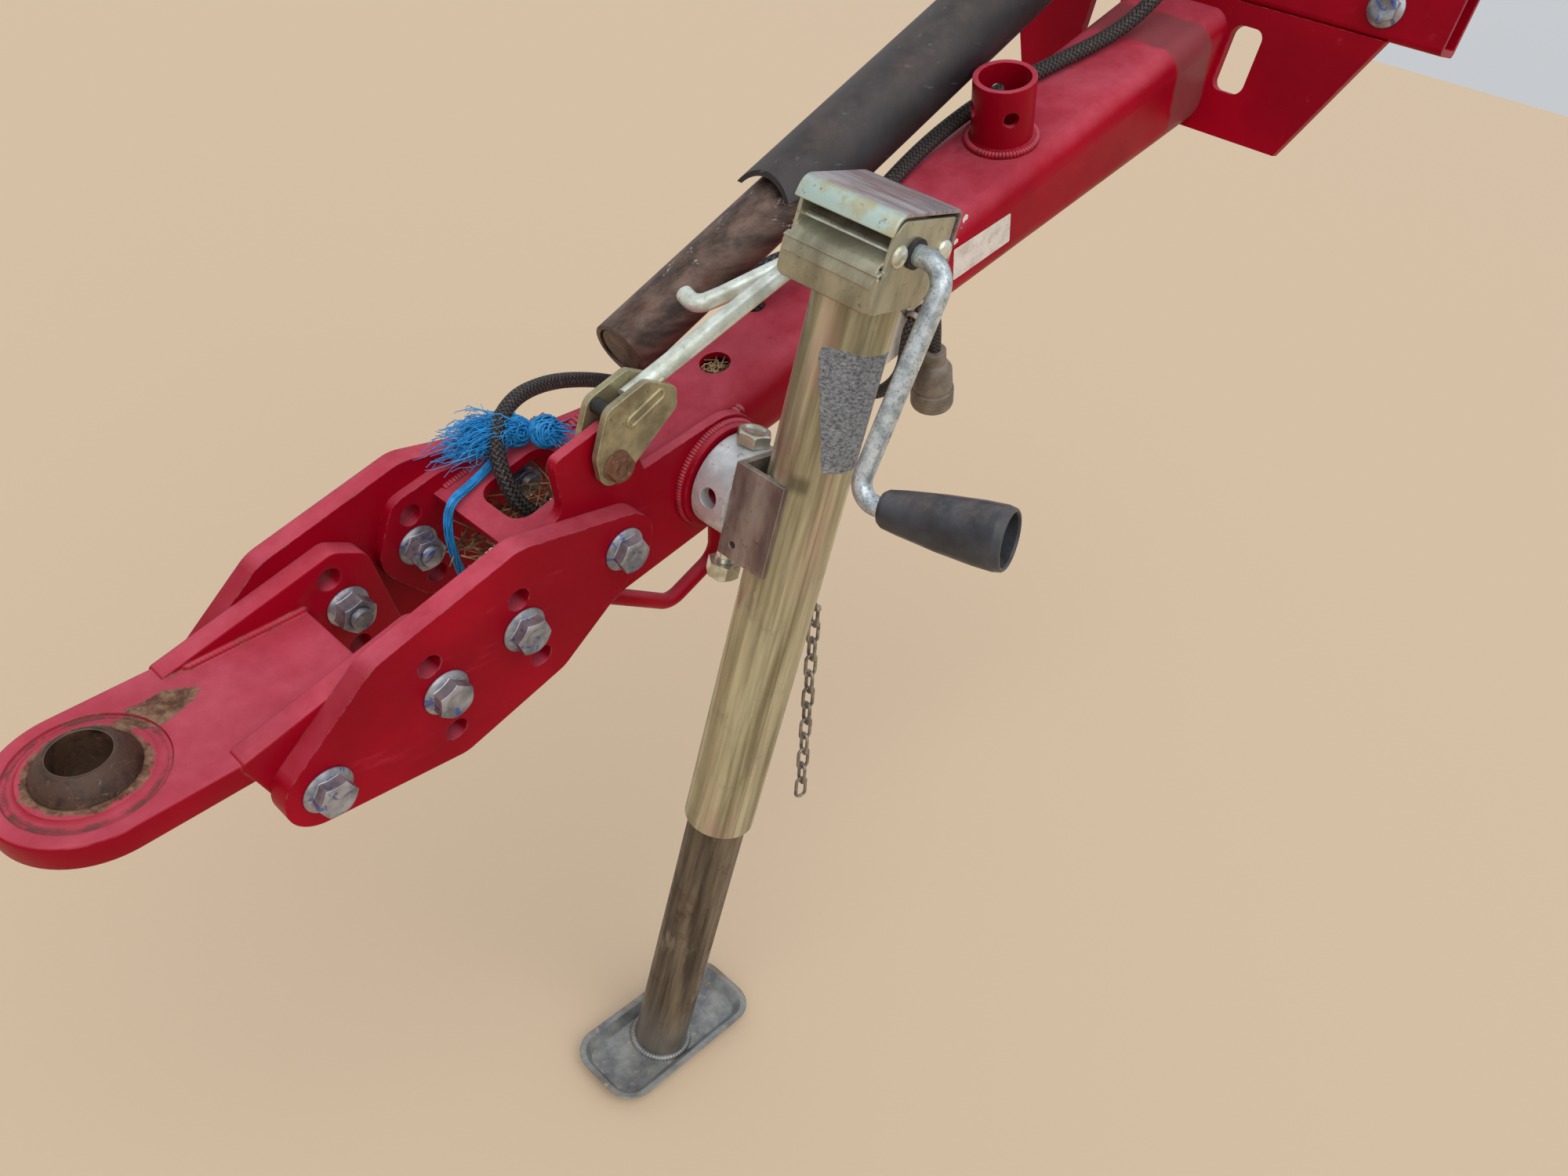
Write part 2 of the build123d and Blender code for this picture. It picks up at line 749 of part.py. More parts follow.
# Head pins: through rivets with flat heads
with BuildPart() as head_pins:
    for x in (pivot_x - pin_offset, pivot_x + pin_offset):
        with BuildSketch(Plane.XZ.offset(-(jack_y - head_half_y))):
            with Locations((x, pin_z)):
                Circle(pin_r)
        extrude(amount=-2 * head_half_y)
        for side in (1, -1):
            with BuildSketch(Plane.XZ.offset(-(jack_y + side * head_half_y))):
                with Locations((x, pin_z)):
                    Circle(rivet_r)
            extrude(amount=-side * rivet_t, taper=25)
finish(head_pins.part, "head_pins")

# Crank bush in the head's left wall
head_side = jack_y + head_half_y
with BuildPart() as crank_bush:
    with BuildSketch(Plane.XZ.offset(-(head_side - head_wall))):
        with Locations((crank_x, crank_z)):
            Circle(bush_r)
            Circle(rod_r + run_gap, mode=Mode.SUBTRACT)
    extrude(amount=-(head_wall + bush_stand))
finish(crank_bush.part, "crank_bush")

# Crank: one bent rod from the head to the grip, with a retainer at its end
crank_low = Vector(*crank_corner)
crank_points = [
    Vector(crank_x, jack_y - head_half_y / 2, crank_z),
    Vector(crank_x, crank_arm_y, crank_z),
    crank_low,
    crank_low + grip_dir * (grip_start + grip_length - grip_recess + retainer_t),
]
with BuildPart() as crank:
    with BuildLine():
        crank_line = FilletPolyline(*crank_points, radius=[crank_bend_top, crank_bend_low])
    with BuildSketch(Plane(origin=crank_line @ 0, z_dir=crank_line % 0)):
        Circle(rod_r)
    sweep()
    retainer_at = crank_low + grip_dir * (grip_start + grip_length - grip_recess + seat_gap)
    with BuildSketch(Plane(origin=retainer_at, z_dir=tuple(grip_dir))):
        Circle(retainer_r)
    extrude(amount=retainer_t - seat_gap)
finish(crank.part, "crank")

# Grip: a tapered plastic handle that turns on the crank's end
grip_profile = [  # radius, distance along the grip
    (rod_r + run_gap, 0),
    (grip_small_r - 2, 0),
    (grip_small_r, 3),
    (grip_small_r + 2, 14),
    (grip_large_r - 2.8, 42),
    (grip_large_r - 0.5, 67),
    (grip_large_r, grip_length - 6),
    (grip_large_r - 1, grip_length - 1),
    (grip_large_r - 2, grip_length),
    (grip_recess_r + 0.8, grip_length),
    (grip_recess_r, grip_length - 1.5),
    (grip_recess_r, grip_length - grip_recess),
    (rod_r + run_gap, grip_length - grip_recess),
]
grip_side = Vector(0, 0, 1).cross(grip_dir).normalized()
grip_base = crank_low + grip_dir * grip_start
with BuildPart() as crank_grip:
    with BuildSketch(Plane(origin=grip_base, x_dir=tuple(grip_side),
                           z_dir=tuple(grip_side.cross(grip_dir)))):
        with BuildLine():
            Polyline(*grip_profile, close=True)
        make_face()
    revolve(axis=Axis(tuple(grip_base), tuple(grip_dir)))
finish(crank_grip.part, "crank_grip")

# Inner tube and foot pan
with BuildPart() as inner_tube:
    with BuildSketch(Plane.XY.offset(ground_z + pan_t)):
        with Locations((pivot_x, jack_y)):
            Circle(inner_r)
            Circle(inner_r - inner_wall, mode=Mode.SUBTRACT)
    extrude(amount=inner_top - ground_z - pan_t)
finish(inner_tube.part, "inner_tube")

flare_reach = pan_height * math.tan(math.radians(pan_flare))
with BuildPart() as foot_pan:
    for inset, lift, mode in ((0, 0, Mode.ADD), (pan_t, pan_t, Mode.SUBTRACT)):
        with BuildSketch(Plane.XY.offset(ground_z + lift)):
            with Locations((pivot_x + pan_shift, jack_y)):
                RectangleRounded(pan_length - 2 * (flare_reach + inset), pan_width - 2 * (flare_reach + inset),
                                 pan_corner_r - flare_reach - inset + pan_t)
        extrude(amount=pan_height, taper=-pan_flare, mode=mode)
    split(bisect_by=Plane(origin=(0, 0, ground_z + pan_height), z_dir=(0, 0, 1)), keep=Keep.BOTTOM)
finish(foot_pan.part, "foot_pan")

# Chain: interlocked links that don't touch, hung on the outer tube's lug
chain_dir = chain_drop.normalized()
link_pitch = chain_drop.length / chain_links
chain_side = chain_dir.cross(lug_dir).normalized()
with BuildPart() as chain:
    for index in range(chain_links):
        hang = link_overlap / 2 - chain_wire_r - lug_r - seat_gap
        middle = chain_top + chain_dir * (link_pitch * (index + 0.5) + hang)
        normal = chain_side.cross(chain_dir) if index % 2 == 0 else chain_side
        half = (link_pitch + link_overlap) / 2
        with BuildLine(Plane(origin=middle, x_dir=tuple(chain_dir), z_dir=tuple(normal))):
            link_line = FilletPolyline((-half, -link_half_width), (half, -link_half_width),
                                       (half, link_half_width), (-half, link_half_width),
                                       radius=link_half_width - 0.1, close=True)
        with BuildSketch(Plane(origin=link_line @ 0, z_dir=link_line % 0)):
            Circle(chain_wire_r)
        sweep()
finish(chain.part, "chain")

# Driveline rest: two link plates on the ear, held by one bolt, and a rod bent to a hook
ear_middle = (cheek_in + cheek_out) / 2
link_in = rod_r
with BuildPart() as link_plates:
    for outer in (ear_middle + link_in + link_t, ear_middle - link_in):
        with BuildSketch(side_plane(outer)):
            with BuildLine():
                rounded_outline(link_outline)
            make_face()
            with Locations(ear_pivot):
                Circle(pivot_bolt_r + run_gap, mode=Mode.SUBTRACT)
        extrude(amount=link_t)
finish(link_plates.part, "link_plates")

with BuildPart() as rest_rod:
    with BuildLine():
        rest_line = FilletPolyline(*[on_beam(*spot) for spot in rest_route], radius=rest_bends)
    with BuildSketch(Plane(origin=rest_line @ 0, z_dir=rest_line % 0)):
        Circle(rod_r)
    sweep()
finish(rest_rod.part, "rest_rod")

link_reach = link_in + link_t
with BuildPart() as pivot_bolt:
    with BuildSketch(side_plane(ear_middle + link_reach + seat_gap)):
        with Locations(ear_pivot):
            Circle(pivot_bolt_r)
    extrude(amount=2 * link_reach + 2 * seat_gap)
    for side in (1, -1):
        with BuildSketch(side_plane(ear_middle + side * (link_reach + seat_gap))):
            with Locations(ear_pivot):
                RegularPolygon(pivot_head_across / 2, 6, major_radius=False, rotation=14)
        extrude(amount=-side * pivot_head_t)
finish(pivot_bolt.part, "pivot_bolt")

# Driveline axis: tangent to the crossmember's front top edge behind and to the beam's far corner in front
lean = math.radians(drive_lean)
corner_reach = beam_corner_r + tube_r + 2 * seat_gap
front_seat = on_beam(
    drive_front_u,
    -(beam_half(drive_front_u) - beam_corner_r) - corner_reach * math.sin(lean),
    -beam_corner_r + corner_reach * math.cos(lean),
)
edge_reach = shield_r + seat_gap
edge_dx = front_seat.X - cross_depth
edge_dz = cross_top - front_seat.Z
pitch = math.atan2(edge_dz, edge_dx) + math.asin(edge_reach / math.hypot(edge_dx, edge_dz))
rear_seat = Vector(
    cross_depth + edge_reach * math.sin(pitch),
    drive_rear_y,
    cross_top + edge_reach * math.cos(pitch),
)
drive_dir = (front_seat - rear_seat).normalized()
shield_end = rear_seat - drive_dir * shield_behind
tube_length = (front_seat - shield_end).length
shield_length = tube_length - shield_front
drive_side = drive_dir.cross(Vector(0, 0, 1)).normalized()


def drive_plane(distance):
    """Sketch plane across the driveline, at a distance in front of the shield's rear end."""
    return Plane(origin=shield_end + drive_dir * distance, x_dir=tuple(drive_side), z_dir=tuple(drive_dir))


with BuildPart() as driveline_shield:
    with BuildSketch(drive_plane(0)):
        Circle(shield_r)
        Circle(shield_r - shield_wall, mode=Mode.SUBTRACT)
    extrude(amount=shield_length)
    for start in (bearing_length, shield_length - 5 * bearing_length):
        with BuildSketch(drive_plane(start)):
            Circle(shield_r - shield_wall)
            Circle(tube_r + run_gap, mode=Mode.SUBTRACT)
        extrude(amount=bearing_length)
    with BuildSketch(Plane(origin=shield_end + drive_dir * shield_length, x_dir=tuple(drive_dir),
                           z_dir=tuple(drive_side))):
        Polygon(*torn_edge, (20, 60), (20, -60), align=None)
    extrude(amount=2 * shield_r, both=True, mode=Mode.SUBTRACT)
    kept = driveline_shield.part.solids().sort_by(SortBy.VOLUME)[-1]
    add(kept, mode=Mode.REPLACE)
finish(driveline_shield.part, "driveline_shield")

with BuildPart() as driveline_tube:
    with BuildSketch(drive_plane(0)):
        Circle(tube_r)
        Circle(tube_r - tube_wall, mode=Mode.SUBTRACT)
    extrude(amount=tube_length)
finish(driveline_tube.part, "driveline_tube")

# Rear yoke of the driveline: a plug in the tube and two bored ears behind it
with BuildPart() as driveline_yoke:
    with BuildSketch(drive_plane(-yoke_length)):
        for side in (1, -1):
            with Locations((side * (tube_r + 3), 0)):
                Rectangle(yoke_ear_t, 2 * tube_r - 8)
    extrude(amount=yoke_length)
    with BuildSketch(drive_plane(0)):
        Circle(shield_r - shield_wall - 2)
    extrude(amount=-yoke_ear_t)
    with BuildSketch(drive_plane(0)):
        Circle(tube_r - tube_wall)
    extrude(amount=bearing_length)
    with BuildSketch(Plane(origin=shield_end - drive_dir * (yoke_length - yoke_bore_r - 5),
                           x_dir=tuple(drive_dir), z_dir=tuple(drive_side))):
        Circle(yoke_bore_r)
    extrude(amount=2 * tube_r, both=True, mode=Mode.SUBTRACT)
finish(driveline_yoke.part, "driveline_yoke")

with BuildPart() as rest_stopper:
    with BuildSketch(side_plane(ear_middle + link_in)):
        with Locations(rest_stop[:2]):
            Circle(rest_stop[2])
    extrude(amount=2 * link_in)
finish(rest_stopper.part, "rest_stop")

# Harness: out of a gland on the crossmember, along the beam, over a hump and into the beam
with BuildPart() as harness_gland:
    with BuildSketch(Plane.YZ.offset(cross_depth)):
        with Locations((gland_y, gland_z)):
            Circle(gland_r)
    extrude(amount=gland_length, taper=12)
finish(harness_gland.part, "harness_gland")

gland_face = cross_depth + gland_length
harness_points = [
    Vector(gland_face, gland_y, gland_z),
    Vector(gland_face + 20, gland_y, gland_z),
    Vector(gland_face + 40, gland_y - 1, gland_z - 16),
    Vector(gland_face + 58, gland_y - 5, gland_z - 44),
] + [
    on_beam(u, v, w)
    for u, v, w in (
        (-585, -6, 9.5),
        (-500, -26, 9),
        (-420, -44, 8.5),
        (-330, -44, 8.5),
        (-240, -30, 8.5),
        (-170, -12, 9),
        (-128, -3, 20),
        (-104, -4, 36),
        (-78, -14, 37),
        (-70, -22, 14),
        (-70, -22, -10),
    )
]
with BuildPart() as harness:
    with BuildLine():
        harness_line = cord_path(harness_points)
    with BuildSketch(Plane(origin=harness_line @ 0, z_dir=harness_line % 0)):
        Circle(harness_r)
    sweep()
finish(harness.part, "harness")
report_cord("harness", harness.part, harness_line, harness_r)
print("harness radii", [round(r) for r in bend_radii(harness_points)])

# Front lead: out of the beam's mouth, up through the cut-out, along the far side, under the beam to the plug
lead_points = [
    on_beam(u, v, w)
    for u, v, w in (
        (70, 0, -41),
        (100, -1, -41),
        (135, -2, -32),
        (172, 1, -26),
        (196, -2, -4),
        (198, -12, 26),
        (184, -32, 46),
        (152, -51, 47),
        (112, -63, 28),
        (72, -69, -2),
        (36, -73, -36),
        (-12, -74, -64),
        (-66, -62, -90),
        (-112, -28, -112),
        (-140, 6, -128),
        (-154, 34, -130),
        (-160, 52, -108),
        (-161, 60, -84),
        (-162, 62, -64),
        (-167, 62, -47),
        (-183, 62, -39),
        (-199, 62, -48),
        (-203, 62, -69),
        (-202, 62, -95),
    )
]
clip_from, clip_to = lead_points[19:21]
plug_top = lead_points[-1]
plug_axis = (lead_points[-1] - lead_points[-2]).normalized()
with BuildPart() as front_lead:
    with BuildLine():
        lead_line = cord_path(lead_points)
    with BuildSketch(Plane(origin=lead_line @ 0, z_dir=lead_line % 0)):
        Circle(lead_r)
    sweep()
finish(front_lead.part, "front_lead")
report_cord("front lead", front_lead.part, lead_line, lead_r)
print("front lead radii", [round(r) for r in bend_radii(lead_points)])

# Clip that holds the lead's arch to the beam's side
clip_axis = (clip_to - clip_from).normalized()
clip_centre = (clip_from + clip_to) * 0.5
clip_bore = lead_r + 3 * seat_gap
clip_up = Vector(0, 1, 0).cross(clip_axis)
clip_u = (clip_centre - beam_origin).dot(down)
side_reach = clip_centre.Y - beam_half(clip_u - clip_width) - run_gap
with BuildPart() as lead_clip:
    clip_plane = Plane(origin=clip_centre - clip_axis * clip_width / 2, x_dir=(0, 1, 0), z_dir=tuple(clip_axis))
    with BuildSketch(clip_plane):
        Circle(clip_bore + clip_t)
        with Locations(((clip_t / 2) - side_reach, -clip_tab / 2)):
            Rectangle(clip_t, clip_tab)
        Circle(clip_bore, mode=Mode.SUBTRACT)
    extrude(amount=clip_width)
    screw_centre = clip_centre + Vector(0, clip_t - side_reach, 0) + clip_up * (clip_tab - clip_screw_r)
    with BuildSketch(Plane(origin=screw_centre, z_dir=(0, 1, 0))):
        Circle(clip_screw_r)
    extrude(amount=clip_t)
finish(lead_clip.part, "lead_clip")

# Plug on the lead's end: a stepped barrel, open at its lower mouth
plug_profile = [  # radius, distance along the plug
    (0, 0),
    (plug_neck_r, 0),
    (plug_neck_r + 1, 14),
    (plug_body_r - 3, 20),
    (plug_body_r - 1, 40),
    (plug_body_r, 44),
    (plug_body_r, plug_length),
    (plug_mouth_r, plug_length),
    (plug_mouth_r, plug_length - plug_mouth),
    (0, plug_length - plug_mouth),
]
plug_side = Vector(0, 1, 0)
with BuildPart() as lead_plug:
    with BuildSketch(Plane(origin=plug_top, x_dir=tuple(plug_side), z_dir=tuple(plug_side.cross(plug_axis)))):
        with BuildLine():
            Polyline(*plug_profile, close=True)
        make_face()
    revolve(axis=Axis(tuple(plug_top), tuple(plug_axis)))
finish(lead_plug.part, "lead_plug")

# Twine: a knotted plume on the front plate and its hanging tail
with BuildPart() as twine_knot:
    for u, v, w in knots:
        with BuildSketch(top_plane(w)):
            with Locations((u, v)):
                Circle(knot_r)
        extrude(amount=knot_r, both=True, taper=35)
    with BuildSketch(top_plane(plume_w[0])):
        Polygon(*plume, align=None)
    extrude(amount=plume_w[1] - plume_w[0])
finish(twine_knot.part, "twine_knot")

tail_points = [
    on_beam(u, v, w)
    for u, v, w in (
        (174, -34, 32),
        (194, -31, 26),
        (216, -28, 25),
        (236, -24, 28),
        (248, -20, 12),
        (252, -18, -14),
        (252, -19, -42),
    )
]
with BuildPart() as twine_tail:
    with BuildLine():
        tail_line = cord_path(tail_points)
    with BuildSketch(Plane(origin=tail_line @ 0, z_dir=tail_line % 0)):
        Circle(twine_r)
    sweep()
finish(twine_tail.part, "twine_tail")
report_cord("twine tail", twine_tail.part, tail_line, twine_r)
print("twine tail radii", [round(r) for r in bend_radii(tail_points)])

print("driveline axis", tuple(round(c, 6) for c in drive_dir), "point", tuple(round(c, 3) for c in rear_seat))
print("ear pivot", tuple(round(c, 3) for c in on_beam(ear_pivot[0], ear_middle, ear_pivot[1])))
print("yoke bore", tuple(round(c, 3) for c in shield_end - drive_dir * (yoke_length - yoke_bore_r - 5)),
      tuple(round(c, 5) for c in drive_side))
print("ball centre", tuple(round(c, 3) for c in ball_centre), "eye axis", tuple(round(c, 5) for c in eye_up))
print("post top", tuple(round(c, 3) for c in on_beam(post_u, 0, post_height)))
print("lead clip", tuple(round(c, 2) for c in clip_centre), "plug axis", tuple(round(c, 4) for c in plug_axis))
print("grip base", tuple(round(c, 3) for c in grip_base), "along", tuple(round(c, 5) for c in grip_dir))
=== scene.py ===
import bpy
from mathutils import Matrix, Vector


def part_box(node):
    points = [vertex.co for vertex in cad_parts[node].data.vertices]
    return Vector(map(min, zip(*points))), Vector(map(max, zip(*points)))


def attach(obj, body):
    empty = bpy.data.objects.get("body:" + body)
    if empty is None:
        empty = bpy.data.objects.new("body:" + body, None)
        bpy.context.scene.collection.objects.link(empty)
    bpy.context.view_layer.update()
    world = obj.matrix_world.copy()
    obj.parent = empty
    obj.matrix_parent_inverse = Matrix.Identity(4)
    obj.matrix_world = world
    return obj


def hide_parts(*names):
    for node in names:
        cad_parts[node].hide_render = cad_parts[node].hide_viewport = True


bl_info = {
    "name": "Baler drawbar",
    "version": (1, 0, 0),
    "blender": (4, 5, 0),
    "location": "3D View > Sidebar > Drawbar",
    "description": "Dresses a baler's drawbar: paint, fasteners, welds, leads, twine and jack",
    "category": "Object",
}

import math
import random

import bpy
from bpy.props import FloatProperty, FloatVectorProperty, IntProperty, PointerProperty
from mathutils import Matrix, Vector, noise

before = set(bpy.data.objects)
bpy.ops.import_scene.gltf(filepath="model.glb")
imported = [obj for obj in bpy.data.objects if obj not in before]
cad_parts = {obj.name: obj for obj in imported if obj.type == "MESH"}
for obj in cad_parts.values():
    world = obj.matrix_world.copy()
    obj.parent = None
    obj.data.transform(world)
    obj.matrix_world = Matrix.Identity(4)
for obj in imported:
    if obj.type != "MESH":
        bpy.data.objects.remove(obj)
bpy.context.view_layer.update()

MM = 0.001

# The beam's own frame: u down and forward, v to the left, w up off its top, in millimetres
DOWN = Vector((0.894934, 0, -0.446198))
UP = Vector((0.446198, 0, 0.894934))
HOLE = Vector((0.671, 0, -0.347))
LEFT = Vector((0, 1, 0))
AHEAD = Vector((1, 0, 0))
SKY = Vector((0, 0, 1))
JACK = Vector((0.710, 0.138, 0))
GROUND = -1.011

# The tow eye: the middle of its ball, and the way its plate looks ahead and up
BALL = Vector((1.147839, 0, -0.534048))
EYE_TILT = math.radians(11.5)
EYE_OUT = Vector((math.cos(EYE_TILT), 0, -math.sin(EYE_TILT)))
EYE_UP = Vector((math.sin(EYE_TILT), 0, math.cos(EYE_TILT)))


def on_beam(u, v, w):
    """A point given in the beam's own frame, in metres."""
    return HOLE + DOWN * u * MM + LEFT * v * MM + UP * w * MM


def by_jack(x, y, z):
    """A point given in millimetres from the jack's axis, in metres."""
    return JACK + Vector((x, y, z)) * MM


def beam_half(u):
    """Half the beam's width at u, in millimetres."""
    return 48 + 13 * max(0, 10 - u) / 770


def tint(red, green, blue):
    """A colour as read on a screen, made linear."""
    return tuple(((c / 255 + 0.055) / 1.055) ** 2.4 if c > 10 else c / 255 / 12.92 for c in (red, green, blue))


def placed(origin, axis, across=DOWN):
    """A place whose Z runs along the axis and whose X is as near to across as it can be."""
    z = Vector(axis).normalized()
    y = z.cross(across).normalized()
    return Matrix.Translation(origin) @ Matrix((y.cross(z), y, z)).transposed().to_4x4()


# Sizes and colours that a user would change


class DrawbarSizes(bpy.types.PropertyGroup):
    bolt_across: FloatProperty(
        name="Bolt head", description="Width across the flats of a strap bolt's head",
        default=0.024, min=0.01, unit="LENGTH")
    weld_width: FloatProperty(
        name="Weld", description="Width of a weld bead", default=0.0085, min=0.003, unit="LENGTH")
    harness_width: FloatProperty(
        name="Harness", description="Diameter of the braided harness", default=0.015, unit="LENGTH")
    lead_width: FloatProperty(
        name="Front lead", description="Diameter of the braided front lead", default=0.012, unit="LENGTH")
    strand_width: FloatProperty(
        name="Twine strand", description="Thickness of one strand of twine", default=0.0011, unit="LENGTH")
    plume_strands: IntProperty(
        name="Plume strands", description="Strands in the frayed end of the twine", default=520, min=10)
    straws: IntProperty(
        name="Straws", description="Bits of straw caught behind the front plate", default=150, min=0)


class DrawbarColours(bpy.types.PropertyGroup):
    paint: FloatVectorProperty(
        name="Paint", description="Crimson of the frame", size=3, subtype="COLOR", default=tint(164, 6, 34))
    # this pale pink stands for dust and for a painted sky reflection on upward faces of the paint
    dust: FloatVectorProperty(
        name="Dust", description="Dust on what faces up", size=3, subtype="COLOR", default=tint(246, 128, 150))
    twine: FloatVectorProperty(
        name="Twine", description="Blue of the plastic twine", size=3, subtype="COLOR", default=tint(34, 152, 224))
    sand: FloatVectorProperty(
        name="Floor", description="Colour of the floor", size=3, subtype="COLOR", default=tint(217, 194, 166))


def sizes():
    return bpy.context.scene.drawbar_sizes


def colours():
    return bpy.context.scene.drawbar_colours


# Modelling


def fresh():
    """Back in object mode with nothing selected."""
    if bpy.context.mode != "OBJECT":
        bpy.ops.object.mode_set(mode="OBJECT")
    bpy.ops.object.select_all(action="DESELECT")


def chosen(piece):
    fresh()
    piece.select_set(True)
    bpy.context.view_layer.objects.active = piece
    return piece


def apply_modifiers(piece):
    chosen(piece)
    for modifier in list(piece.modifiers):
        bpy.ops.object.modifier_apply(modifier=modifier.name)
    return piece


def settle(piece, name, place=None, smooth=35):
    """Names a mesh, puts its place into it and shades it smooth up to an angle."""
    chosen(piece)
    if place is not None:
        piece.matrix_world = place @ piece.matrix_world
    bpy.ops.object.transform_apply(location=True, rotation=True, scale=True)
    if smooth:
        bpy.ops.object.shade_smooth_by_angle(angle=math.radians(smooth))
    piece.name = name
    return piece


def join(name, parts):
    """Joins meshes into one piece."""
    fresh()
    for part in parts:
        part.select_set(True)
    bpy.context.view_layer.objects.active = parts[0]
    if len(parts) > 1:
        bpy.ops.object.join()
    parts[0].name = name
    return parts[0]


def copies(name, pattern, places, keep=False):
    """One piece with a copy of the pattern at each place."""
    made = []
    for place in places:
        copy = pattern.copy()
        copy.data = pattern.data.copy()
        bpy.context.collection.objects.link(copy)
        copy.matrix_world = place @ pattern.matrix_world
        made.append(settle(copy, name, smooth=0))
    if not keep:
        bpy.data.objects.remove(pattern)
    return join(name, made)


def turned(name, rows, sides=32):
    """A lathed piece on Z: a circle, then an extruded ring for each row of radius and height in millimetres."""
    fresh()
    (radius, height), *rest = rows
    bpy.ops.mesh.primitive_circle_add(vertices=sides, radius=radius * MM, fill_type="NGON")
    piece = bpy.context.object
    bpy.ops.object.mode_set(mode="EDIT")
    bpy.ops.mesh.select_all(action="SELECT")
    bpy.ops.transform.translate(value=(0, 0, height * MM))
    for next_radius, next_height in rest:
        bpy.ops.mesh.extrude_region_move(
            TRANSFORM_OT_translate={"value": (0, 0, (next_height - height) * MM)})
        share = next_radius / radius
        bpy.ops.transform.resize(value=(share, share, 1), center_override=(0, 0, next_height * MM))
        radius, height = next_radius, next_height
    bpy.ops.mesh.select_all(action="SELECT")
    bpy.ops.mesh.remove_doubles(threshold=1e-6)
    bpy.ops.mesh.normals_make_consistent(inside=False)
    bpy.ops.object.mode_set(mode="OBJECT")
    return settle(piece, name, smooth=0)


def cut(piece, cutter, operation="DIFFERENCE"):
    """Cuts or joins with another solid, which is then removed."""
    change = piece.modifiers.new("cut", "BOOLEAN")
    change.operation = operation
    change.solver = "EXACT"
    change.object = cutter
    apply_modifiers(piece)
    bpy.data.objects.remove(cutter)
    return piece


def rounded(corners, closed=True, steps=6):
    """A line of points from corners of (x, y, radius) in millimetres, each corner drawn as an arc."""
    line = []
    count = len(corners)
    for index, (x, y, radius) in enumerate(corners):
        here = Vector((x, y))
        ends = not closed and index in (0, count - 1)
        if radius <= 0 or ends:
            line.append(here)
            continue
        before = Vector(corners[index - 1][:2]) - here
        after = Vector(corners[(index + 1) % count][:2]) - here
        before.normalize()
        after.normalize()
        half = before.angle(after) / 2
        reach = radius / math.tan(half)
        centre = here + (before + after).normalized() * radius / math.sin(half)
        first, last = here + before * reach - centre, here + after * reach - centre
        turn = first.angle_signed(last)
        for step in range(steps + 1):
            angle = -turn * step / steps
            line.append(centre + Vector((first.x * math.cos(angle) - first.y * math.sin(angle),
                                         first.x * math.sin(angle) + first.y * math.cos(angle))))
    return line


def soften(piece, width, segments=3):
    """Rounds a solid's sharp edges."""
    edge = piece.modifiers.new("edges", "BEVEL")
    edge.width = width * MM
    edge.segments = segments
    edge.limit_method = "ANGLE"
    edge.angle_limit = math.radians(40)
    return apply_modifiers(piece)


def traced(outline, fill):
    """A circle primitive whose corners are moved onto an outline in the XY plane, in millimetres."""
    fresh()
    bpy.ops.mesh.primitive_circle_add(vertices=len(outline), radius=MM, fill_type=fill)
    piece = bpy.context.object
    for vertex, point in zip(piece.data.vertices, outline):
        vertex.co = (point.x * MM, point.y * MM, 0)
    return piece


def panel(name, corners, thick, place, holes=(), edge=0.8):
    """A plate cut to an outline in its own XY plane, with round holes of (x, y, radius) and softened edges."""
    piece = traced(rounded(corners), "NGON")
    bpy.ops.object.mode_set(mode="EDIT")
    bpy.ops.mesh.select_all(action="SELECT")
    bpy.ops.mesh.extrude_region_move(TRANSFORM_OT_translate={"value": (0, 0, thick * MM)})
    bpy.ops.mesh.select_all(action="SELECT")
    bpy.ops.mesh.normals_make_consistent(inside=False)
    bpy.ops.object.mode_set(mode="OBJECT")
    for x, y, radius in holes:
        drill = turned("drill", [(radius, -2), (radius, thick + 2)])
        drill.location = (x * MM, y * MM, 0)
        cut(piece, drill)
    soften(piece, edge)
    return settle(piece, name, place)


def folded(name, corners, low, high, thick, place, edge=0.6):
    """Sheet metal: an open profile in XY with bend radii, drawn out along Z from low to high."""
    piece = traced(rounded(corners, closed=False), "NOTHING")
    bpy.ops.object.mode_set(mode="EDIT")
    bpy.ops.mesh.select_all(action="SELECT")
    bpy.ops.transform.translate(value=(0, 0, low * MM))
    bpy.ops.mesh.select_mode(type="EDGE")
    bpy.ops.mesh.select_all(action="DESELECT")
    bpy.ops.object.mode_set(mode="OBJECT")
    ends = {0, len(piece.data.vertices) - 1}
    for side in piece.data.edges:  # the circle's closing edge
        side.select = set(side.vertices) == ends
    bpy.ops.object.mode_set(mode="EDIT")
    bpy.ops.mesh.delete(type="EDGE")
    bpy.ops.mesh.select_all(action="SELECT")
    bpy.ops.mesh.extrude_region_move(TRANSFORM_OT_translate={"value": (0, 0, (high - low) * MM)})
    bpy.ops.mesh.select_mode(type="VERT")
    bpy.ops.object.mode_set(mode="OBJECT")
    shell = piece.modifiers.new("shell", "SOLIDIFY")
    shell.thickness = thick * MM
    shell.offset = -1
    apply_modifiers(piece)
    soften(piece, edge, 2)
    return settle(piece, name, place)


